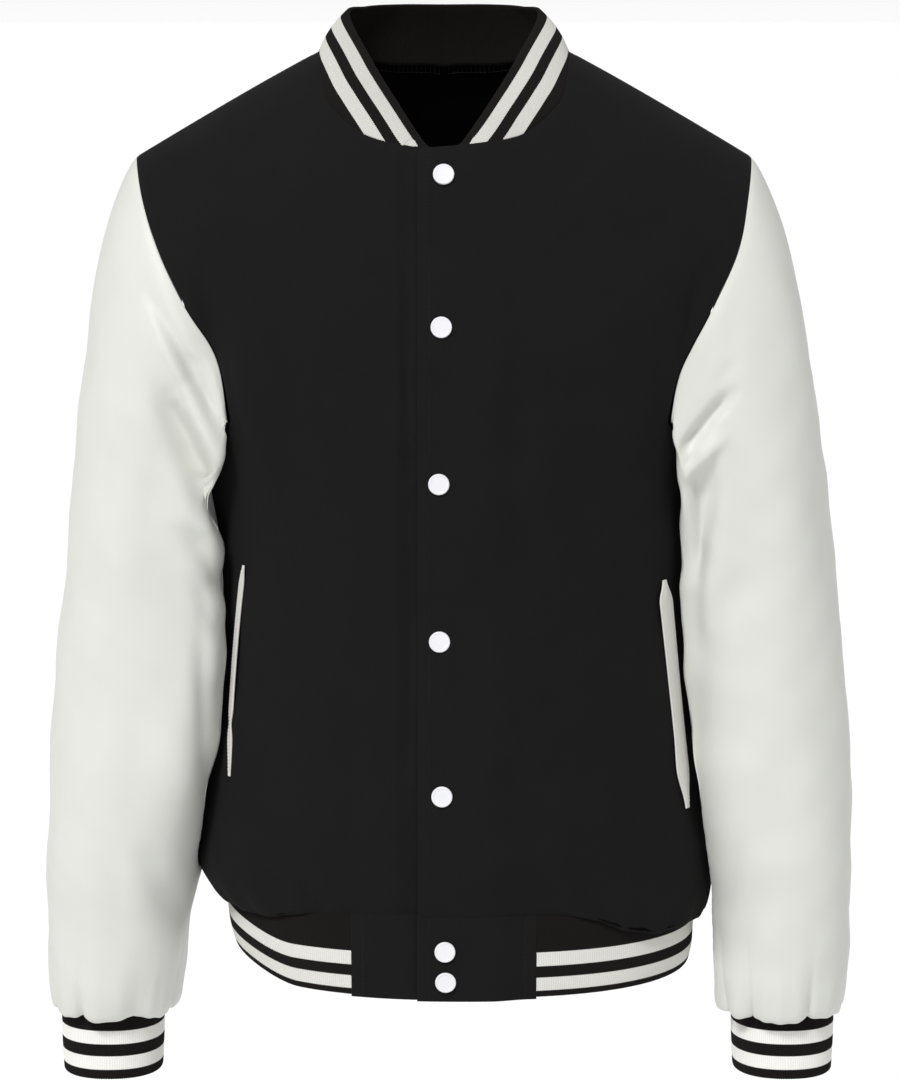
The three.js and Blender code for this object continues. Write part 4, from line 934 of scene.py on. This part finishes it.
def knitBand(name, outer, inner, ring, material, node, edgeAtStart=True, insideStriped=False):
    uv = cutUv(outer, ring)
    if not edgeAtStart:
        uv[..., 1] = uv[-1:, :, 1] - uv[..., 1]
    inside = uv.copy()
    if not insideStriped:
        inside[..., 1] = -5
    columns = outer.shape[1]
    across = np.broadcast_to(np.arange(columns) * ribSettings["pitchMm"] / bandSettings["perRib"], outer.shape[:2])
    uv[..., 0] = np.arange(uv.shape[1]) * ribSettings["pitchMm"] / bandSettings["perRib"]
    weight = np.ones(outer.shape[:2])
    obj = makeMesh(name, outer, inner, ring, material, uv, inside,
                   {"across": (across / 1000, across / 1000), "ribWeight": (weight, weight)})
    grown(obj, ribGroup, {"Pitch": ribSettings["pitchMm"] / 1000, "Height": ribSettings["heightMm"] / 1000,
                          "Material": material})
    return keep(obj, node)


# z, mirror plane, outer, inner, front, back, lean
cuffRings = np.array([
    (-695, 2.8, 289.5, 213.5, -67.7, 17.4, 0.02), (-724, 2.8, 289.6, 213.4, -69.3, 15.7, 0.02),
    (-752.5, 2.8, 288, 214.5, -72, 10.5, 0.02),
])
inwards = np.array([0, 0, -1, 1, 1, -1, 0])


def makeCuff(side, name, node):
    columns = ribColumns(bandSettings["cuffRound"])
    shares = bandRows(bandSettings["cuffHigh"], bandSettings["rows"])
    around, share = np.meshgrid(np.linspace(0, 2 * math.pi, columns + 1)[:-1], shares)
    rows = tableAt(cuffRings, 2 * (1 - share))
    drawn = rounding(share * bandSettings["cuffHigh"], cloth["ribWall"])[..., None] * inwards
    outer = ringPoint(rows + drawn, around, side)
    inner = ringPoint(rows + cloth["ribWall"] * inwards - drawn, around, side)
    knitBand(name, outer, inner, True, cuffKnit, node)


makeCuff(-1, "cuffRightRib", "cuff_right")
makeCuff(1, "cuffLeftRib", "cuff_left")
print("cuffs made")

# Hem band and its two plain tabs
# z, half width, front, back, shift
hemSections = np.array([(-612, 177.1, 135.8, 128, 13), (-642, 174.6, 136.4, 128.4, 13.2),
                        (-660, 171.7, 135.6, 127, 15.2), (-673.5, 168.5, 134, 125, 15.5)])
hemSettings = {"top": -612.0, "bottom": -672.0, "tabBottom": -673.5, "tabReach": 67.0, "tuck": 6.0, "tabProud": 0.5,
               "drawn": 15.0, "under": 2.0, "within": 3.5, "sunk": 1.9}


def hemRow(z):
    return tableAt(hemSections, rowWhere(hemSections, 0, z, 0, len(hemSections) - 1))


def hemPoint(turn, z, lift):
    row = hemRow(z)
    onFront = np.cos(turn) > 0
    depth = np.where(onFront, row[..., 2], row[..., 3]) + lift
    x = row[..., 4] + (row[..., 1] + lift) * signedPower(np.sin(turn), 2 / sectionPower)
    y = np.where(onFront, -depth, depth) * np.abs(np.cos(turn)) ** (2 / sectionPower)
    return np.stack([x, y, np.broadcast_to(z, x.shape)], -1)


def hemTurnAtX(x, z):
    row = hemRow(z)
    return np.arcsin(np.clip(signedPower((x - row[..., 4]) / row[..., 1], sectionPower / 2), -1, 1))


def hemSeamHeight(turn):
    base = torsoBase(turn, np.full(turn.shape, -float(chestRow)))
    hang = blouse(base[..., 0], np.cos(turn) > 0)
    return base[..., 2] + cloth["seamTuck"] + hemSettings["tuck"] * smooth(hang, 0.6, 1)


def makeHemRib():
    shares = np.append(bandRows(bandSettings["hemHigh"], bandSettings["rows"]),
                       1 + hemSettings["within"] / bandSettings["hemHigh"])
    reach = hemSettings["tabReach"] - hemSettings["under"]
    ends = [(hemTurnAtX(np.array(reach), z), 2 * math.pi + hemTurnAtX(np.array(-reach), z))
            for z in (hemSettings["top"], hemSettings["bottom"])]
    middle = np.linspace(float(ends[0][0]), float(ends[0][1]), 2001)
    line = hemPoint(middle, np.full(middle.shape, -640.0), 0.0)
    far = np.concatenate([[0], np.cumsum(lengthOf(np.diff(line, axis=0)))])
    columns = ribColumns(far[-1])
    even = np.interp(np.linspace(0, far[-1], columns + 1), far, np.linspace(0, 1, 2001))
    start, end = [np.array([float(pair[k]) for pair in ends]) for k in (0, 1)]
    share, s = np.meshgrid(shares, even, indexing="ij")
    turn = mix(mix(start[1], start[0], share), mix(end[1], end[0], share), s)
    foot = hemPoint(turn, np.full(turn.shape, hemSettings["bottom"]), 0.0)
    low = hemSettings["bottom"] + hemSettings["drawn"] * smooth(-foot[..., 0], 105, 165)
    z = mix(low, hemSeamHeight(turn), share)
    drawn = rounding(share * bandSettings["hemHigh"], cloth["ribWall"])
    sunk = hemSettings["sunk"] * (share > 1)
    outer, inner = hemPoint(turn, z, -drawn - sunk), hemPoint(turn, z, drawn - sunk - cloth["ribWall"])
    knitBand("hemRib", outer, inner, False, hemKnit, "hem_rib")


def makeHemTab(side, name, node):
    edgeX = closingEdge if side > 0 else closingLap
    across = steps(34, 84)
    up = np.append(steps(24, bandSettings["tabHigh"], (True, False)),
                   1 + hemSettings["within"] / bandSettings["tabHigh"])
    s, t = np.meshgrid(across, up)
    z = mix(hemSettings["tabBottom"], hemSettings["top"] + 2.5 * cloth["seamTuck"], t)
    x = mix(edgeX, side * hemSettings["tabReach"], s)
    turn = hemTurnAtX(x, z)
    lift = hemSettings["tabProud"] + (lapAt(x) if side > 0 else 0.0) - hemSettings["sunk"] * (t > 1)
    base = hemPoint(turn, z, lift)
    away = borderDistance(base, ("left", "right", "bottom"))
    line = 0.45 * np.exp(-((np.abs(x - side * (hemSettings["tabReach"] - stitchInset)) / 1.1) ** 2))
    drawn = rounding(away, cloth["bodyWall"])
    outer = hemPoint(turn, z, lift - drawn - line)
    inner = hemPoint(turn, z, lift + drawn - cloth["bodyWall"])
    obj = makeMesh(name, outer, inner, False, bodyCloth, cutUv(base))
    keep(obj, node)


makeHemRib()
makeHemTab(-1, "hemTabRightCloth", "hem_tab_right")
makeHemTab(1, "hemTabLeftCloth", "hem_tab_left")
print("hem made")

# Collar: the free edge opposite each share of the neck seam, from the centre back to the front
# share of the seam, x, y, z
collarEdge = np.array([
    (0, 0, 53, 37), (0.16, 33, 50, 37), (0.31, 58, 36, 35.5), (0.42, 70.5, 13, 31), (0.62, 53, -40, 0),
    (0.7, 42.5, -58, -17), (0.79, 31.5, -74, -33.5), (0.86, 22.5, -86, -47), (0.91, 16.5, -93.5, -55.5),
    (0.96, 11.5, -99.5, -61.5), (1, 8.5, -102.6, -63.2),
])
collarSettings = {"endX": 9.0, "neckShare": 0.42, "tuck": 1.0, "sunk": 0.9, "bulge": 3.0, "rows": 16}


def neckSeam(side):
    fine = np.linspace(0, 1, 400)
    turn, climb = necklineLine(side, True)(fine)
    climb = np.minimum(climb, quarter)
    turnFront, climbFront = frontNeck(side)(1 - fine[1:])
    points = np.vstack([torsoPoint(turn, climb), frontPoint(side, turnFront, climbFront)])
    turns, climbs = np.append(turn, turnFront), np.append(climb, climbFront)
    onward = fine[1:]
    beyond = np.where(np.abs(points[400:, 0]) < collarSettings["endX"])[0]
    cut = onward[beyond[0]] if len(beyond) else 1.0
    lastStep = 5 / 6
    stretched = np.where(onward > lastStep, mix(lastStep, 1, (onward - lastStep) / (cut - lastStep)), onward)
    share = np.append(fine * collarSettings["neckShare"], mix(collarSettings["neckShare"], 1, stretched))
    kept = share <= 1
    points, turns, climbs, share = points[kept], turns[kept], climbs[kept], share[kept]
    normal = torsoNormal(turns, climbs)
    inward = unit(np.cross(np.gradient(points, axis=0), normal) * side)
    lapped = (share > collarSettings["neckShare"]) & (side > 0)
    lap = normal * np.where(lapped, lapAt(points[:, 0]), 0)[:, None]
    edge = tableAt(collarEdge, rowWhere(collarEdge, 0, share, 0, len(collarEdge) - 1))
    free = np.stack([side * edge[:, 1], edge[:, 2], edge[:, 3]], -1) + lap
    return points - inward * collarSettings["tuck"] - normal * collarSettings["sunk"], free, inward


def makeCollar():
    right, left = neckSeam(-1), neckSeam(1)
    seam, free, inward = [np.vstack([a[::-1], b[1:]]) for a, b in zip(right, left)]
    far = np.concatenate([[0], np.cumsum(lengthOf(np.diff((seam + free) / 2, axis=0)))])
    want = np.linspace(0, far[-1], ribColumns(far[-1]) + 1)
    seam, free, inward = [np.stack([np.interp(want, far, a[:, k]) for k in range(3)], -1)
                          for a in (seam, free, inward)]
    along = np.gradient(seam + free, axis=0)
    normal = unit(np.cross(free - seam, along))
    height = lengthOf(free - seam)
    shares = bandRows(bandSettings["collarHigh"], collarSettings["rows"])[:, None]
    w = 1 - shares
    bulge = collarSettings["bulge"] * np.sin(math.pi * w) * smooth(height, 5, 40)[None]
    drawn = rounding(shares * height[None], cloth["ribWall"])
    ends = np.minimum(want, far[-1] - want)[None]
    drawn = np.maximum(drawn, rounding(np.broadcast_to(ends, drawn.shape), cloth["ribWall"]))
    atSeam = unit(normal - inward * np.maximum(0, (normal * inward).sum(-1))[:, None])
    way = np.where(w[..., None] <= 0, atSeam[None], normal[None])
    middle = seam[None] * (1 - w[..., None]) + free[None] * w[..., None]
    outer = middle + way * (bulge - drawn)[..., None]
    inner = middle + way * (bulge + drawn - cloth["ribWall"])[..., None]
    knitBand("collarRib", outer, inner, False, collarKnit, "collar")


makeCollar()
print("collar made")

# Pocket welts: x1, z1, x2, z2 seen from the front, sideways bend, and how wide in the middle and at the ends
welts = {-1: (-143, -364, -156, -521, -2, 6.5, 2.5), 1: (158, -375, 177, -545, 0, 18, 5)}
weltSettings = {"thick": 1.6, "lift": 1.0, "pinch": {-1: 0.6, 1: 0}}


def weltPlace(side, t, c):  # t goes down the welt and c across it, from -0.5 to 0.5
    x1, z1, x2, z2, bend, middleWide, endWide = welts[side]
    turn, climb = torsoPlace(mix(x1, x2, t) + bend * 4 * t * (1 - t), mix(z1, z2, t), False)
    wide = mix(endWide, middleWide, np.minimum(smooth(t, 0, 0.1), 1 - smooth(t, 0.82, 1)))
    wide = wide * (1 - weltSettings["pinch"][side] * np.exp(-(((t - 0.76) / 0.04) ** 2)))
    perTurn = lengthOf(torsoBase(turn + 0.01, climb) - torsoBase(turn, climb)) / 0.01
    return turn + c * wide / perTurn, climb


def makeWelt(side, name, node):
    t, c = np.meshgrid(steps(70, 172), steps(12, welts[side][5]) - 0.5, indexing="ij")
    turn, climb = weltPlace(side, t, c)
    bare = torsoPoint(turn, climb)
    away = borderDistance(bare, allSides)
    pad = 0.5 * smooth(away, 0.5, 5) - 0.3 * np.exp(-((away - 2) / 0.7) ** 2)
    drawn = rounding(away, weltSettings["thick"])
    outer = torsoPoint(turn, climb, weltSettings["lift"] + weltSettings["thick"] + pad - drawn)
    inner = torsoPoint(turn, climb, weltSettings["lift"] + drawn)
    obj = makeMesh(name, outer, inner, False, weltCloth, cutUv(bare))
    keep(obj, node)


makeWelt(-1, "weltRightCloth", "pocket_welt_right")
makeWelt(1, "weltLeftCloth", "pocket_welt_left")
print("welts made")

# Snap caps: radius and height along the turned profile
snapSettings = {"radius": 7.5, "height": 1.9, "hem": ((1.2, -635.6), (1.7, -658.2)),
                "front": ((0, -83.2), (-1.6, -187.6), (-3.3, -297), (-2.8, -409), (-1.2, -520.3))}


def makeSnap(name, node, point, normal):
    radius, height = snapSettings["radius"], snapSettings["height"]
    profile = np.array([
        (0, 0), (radius - 0.3, 0), (radius, 0.3), (radius, height - 0.9), (radius - 0.15, height - 0.4),
        (radius - 0.5, height - 0.06), (radius - 0.9, height), (radius - 1.25, height - 0.07),
        (radius - 1.6, height - 0.28), (radius - 2.2, height - 0.32), (0, height - 0.32),
    ])
    turned = np.linspace(0, 2 * math.pi, 49)[:-1]
    axis = Vector(normal)
    sideways = axis.orthogonal().normalized()
    other = axis.cross(sideways)
    rings = [np.array(point) + np.outer(np.cos(turned) * r, sideways) + np.outer(np.sin(turned) * r, other)
             + h * np.array(axis) for r, h in profile[1:-1]]
    points = np.vstack([[np.array(point)], *rings, [np.array(point) + profile[-1][1] * np.array(axis)]]) / 1000
    faces = [(0, 1 + (k + 1) % 48, 1 + k) for k in range(48)]
    for ring in range(len(rings) - 1):
        low, high = 1 + 48 * ring, 49 + 48 * ring
        faces += [(low + k, low + (k + 1) % 48, high + (k + 1) % 48, high + k) for k in range(48)]
    top = 1 + 48 * (len(rings) - 1)
    faces += [(top + k, top + (k + 1) % 48, len(points) - 1) for k in range(48)]
    mesh = bpy.data.meshes.new(name)
    mesh.from_pydata([tuple(p) for p in points], [], faces)
    mesh.polygons.foreach_set("use_smooth", np.ones(len(mesh.polygons), bool))
    mesh.materials.append(snapPlastic)
    obj = bpy.data.objects.new(name, mesh)
    bpy.context.scene.collection.objects.link(obj)
    keep(obj, node)


for number, (x, z) in enumerate(snapSettings["front"]):
    turn, climb = torsoPlace(x, z, False)
    place = torsoPoint(turn, climb, lapLift + 0.1)
    makeSnap(f"snapCap{number + 1}", f"snap_{number + 1}", place, torsoNormal(turn, climb))
for number, (x, z) in enumerate(snapSettings["hem"]):
    turn = hemTurnAtX(np.array(x), np.array(z))
    across = hemPoint(turn + 0.02, z, 0.0) - hemPoint(turn - 0.02, z, 0.0)
    along = hemPoint(turn, z + 4, 0.0) - hemPoint(turn, z - 4, 0.0)
    lift = hemSettings["tabProud"] + lapLift + 0.3
    place = hemPoint(turn, z, lift)
    makeSnap(f"hemSnapCap{number + 1}", f"hem_snap_{number + 1}", place, unit(np.cross(across, along)))
print("snaps made")

# Stitches, as lines of thread over the cloth
stitchSettings = {"pitchMm": 3.0, "lengthMm": 2.4, "thickMm": 0.5}


def makeStitches(name, lines, material, values=None):
    points, edges = [], []
    for line in lines:
        edges += [(len(points) + k, len(points) + k + 1) for k in range(len(line) - 1)]
        points += [tuple(p) for p in line / 1000]
    mesh = bpy.data.meshes.new(name)
    mesh.from_pydata(points, edges, [])
    obj = bpy.data.objects.new(name, mesh)
    bpy.context.scene.collection.objects.link(obj)
    size = values or stitchSettings
    grown(obj, stitchGroup, {"Pitch": size["pitchMm"] / 1000, "Length": size["lengthMm"] / 1000,
                             "Thickness": size["thickMm"] / 1000, "Material": material})
    keep(obj)


def closingStitches():
    z = np.linspace(-70, -609, 240)
    turn, climb = torsoPlace(np.full(z.shape, closingEdge + stitchInset), z, False)
    lines = [frontPoint(1, turn, climb, 0.05)]
    zTab = np.linspace(-614, -671, 30)
    for x in (closingEdge + stitchInset, hemSettings["tabReach"] - stitchInset):
        turn = hemTurnAtX(np.full(zTab.shape, x), zTab)
        lift = hemSettings["tabProud"] + lapAt(x) - (0.3 if x > 0 else 0)
        lines.append(hemPoint(turn, zTab, lift + 0.05))
    turn = hemTurnAtX(np.full(zTab.shape, stitchInset - hemSettings["tabReach"]), zTab)
    lines.append(hemPoint(turn, zTab, hemSettings["tabProud"] - 0.25))
    return lines


def weltStitches(side):
    lines = []
    for c in (-0.38, 0.38):
        t = np.linspace(0.03, 0.97, 90)
        turn, climb = weltPlace(side, t, np.full(t.shape, c))
        lines.append(torsoPoint(turn, climb, weltSettings["lift"] + weltSettings["thick"] + 0.05))
    return lines


def neckLoops():  # grey overlocking over the seam inside the back of the neck
    lines = []
    turn, climb = necklineLine(1, True)(np.linspace(0.03, 0.95, 34))
    other = necklineLine(-1, True)(np.linspace(0.03, 0.95, 34))
    for turns, climbs in ((turn, climb), other):
        climbs = np.minimum(climbs, quarter - 0.003)
        points = torsoPoint(turns, climbs, -cloth["bodyWall"] - 0.5)
        lower = torsoPoint(turns, climbs - 0.035, -cloth["bodyWall"] - 0.5)
        lines += [np.stack([a, b]) for a, b in zip(points, lower)]
        lines.append(lower)
    return lines


makeStitches("closingStitches", closingStitches(), thread)
makeStitches("weltStitches", weltStitches(-1) + weltStitches(1), weltCloth,
             {"pitchMm": 2.6, "lengthMm": 2.0, "thickMm": 0.4})
makeStitches("neckOverlock", neckLoops(), lockThread,
             {"pitchMm": 1.6, "lengthMm": 1.9, "thickMm": 0.35})
print("stitches made")

# Floor, light and camera
studio = {"floorDrop": -1.9, "floorWide": 4000.0, "floor": "#fbfbfb", "sky": 0.5, "horizon": 0.97, "sun": 2.4,
          "sunAngle": 14.0, "sunFromTop": 40.0, "sunFromLeft": 28.0,
          "cameraAt": (0.0045, -2.5714, 0.0263), "cameraTilt": 81.5, "sensorMm": 36.0, "focalShare": 3490 / 1080}


def makeStudio():
    mesh = bpy.data.meshes.new("paleFloor")
    half = studio["floorWide"] / 2
    mesh.from_pydata([(-half, -half, 0), (half, -half, 0), (half, half, 0), (-half, half, 0)], [], [(0, 1, 2, 3)])
    floor = bpy.data.objects.new("paleFloor", mesh)
    floor.location.z = studio["floorDrop"]
    bpy.context.scene.collection.objects.link(floor)
    paper = newMaterial("palePaper", {"Roughness": 0.9, "Base Color": linearColour(studio["floor"])})[0]
    mesh.materials.append(paper)
    world = bpy.data.worlds.new("softSky")
    world.use_nodes = True
    tree = world.node_tree
    way = addNode(tree, "ShaderNodeTexCoord")
    split = addNode(tree, "ShaderNodeSeparateXYZ", links={"Vector": way.outputs["Generated"]})
    levels = {"From Min": 0.0, "From Max": 0.12, "To Min": studio["horizon"], "To Max": studio["sky"]}
    strength = addNode(tree, "ShaderNodeMapRange", values=levels, links={"Value": split.outputs[2]})
    tree.links.new(strength.outputs[0], tree.nodes["Background"].inputs[1])
    tree.nodes["Background"].inputs[0].default_value = (1, 1, 1, 1)
    bpy.context.scene.world = world
    sun = bpy.data.lights.new("highSoftSun", "SUN")
    sun.energy = studio["sun"]
    sun.angle = math.radians(studio["sunAngle"])
    lamp = bpy.data.objects.new("highSoftSun", sun)
    lamp.rotation_euler = (math.radians(studio["sunFromTop"]), 0, -math.radians(studio["sunFromLeft"]))
    bpy.context.scene.collection.objects.link(lamp)
    camera = bpy.data.cameras.new("photoCamera")
    camera.sensor_width = studio["sensorMm"]
    camera.lens = studio["focalShare"] * studio["sensorMm"]
    camera.clip_end = 8000
    view = bpy.data.objects.new("photoCamera", camera)
    view.location = studio["cameraAt"]
    view.rotation_euler = (math.radians(studio["cameraTilt"]), 0, 0)
    bpy.context.scene.collection.objects.link(view)
    bpy.context.scene.camera = view
    bpy.context.scene.view_settings.view_transform = "Standard"


makeStudio()
print("studio made")
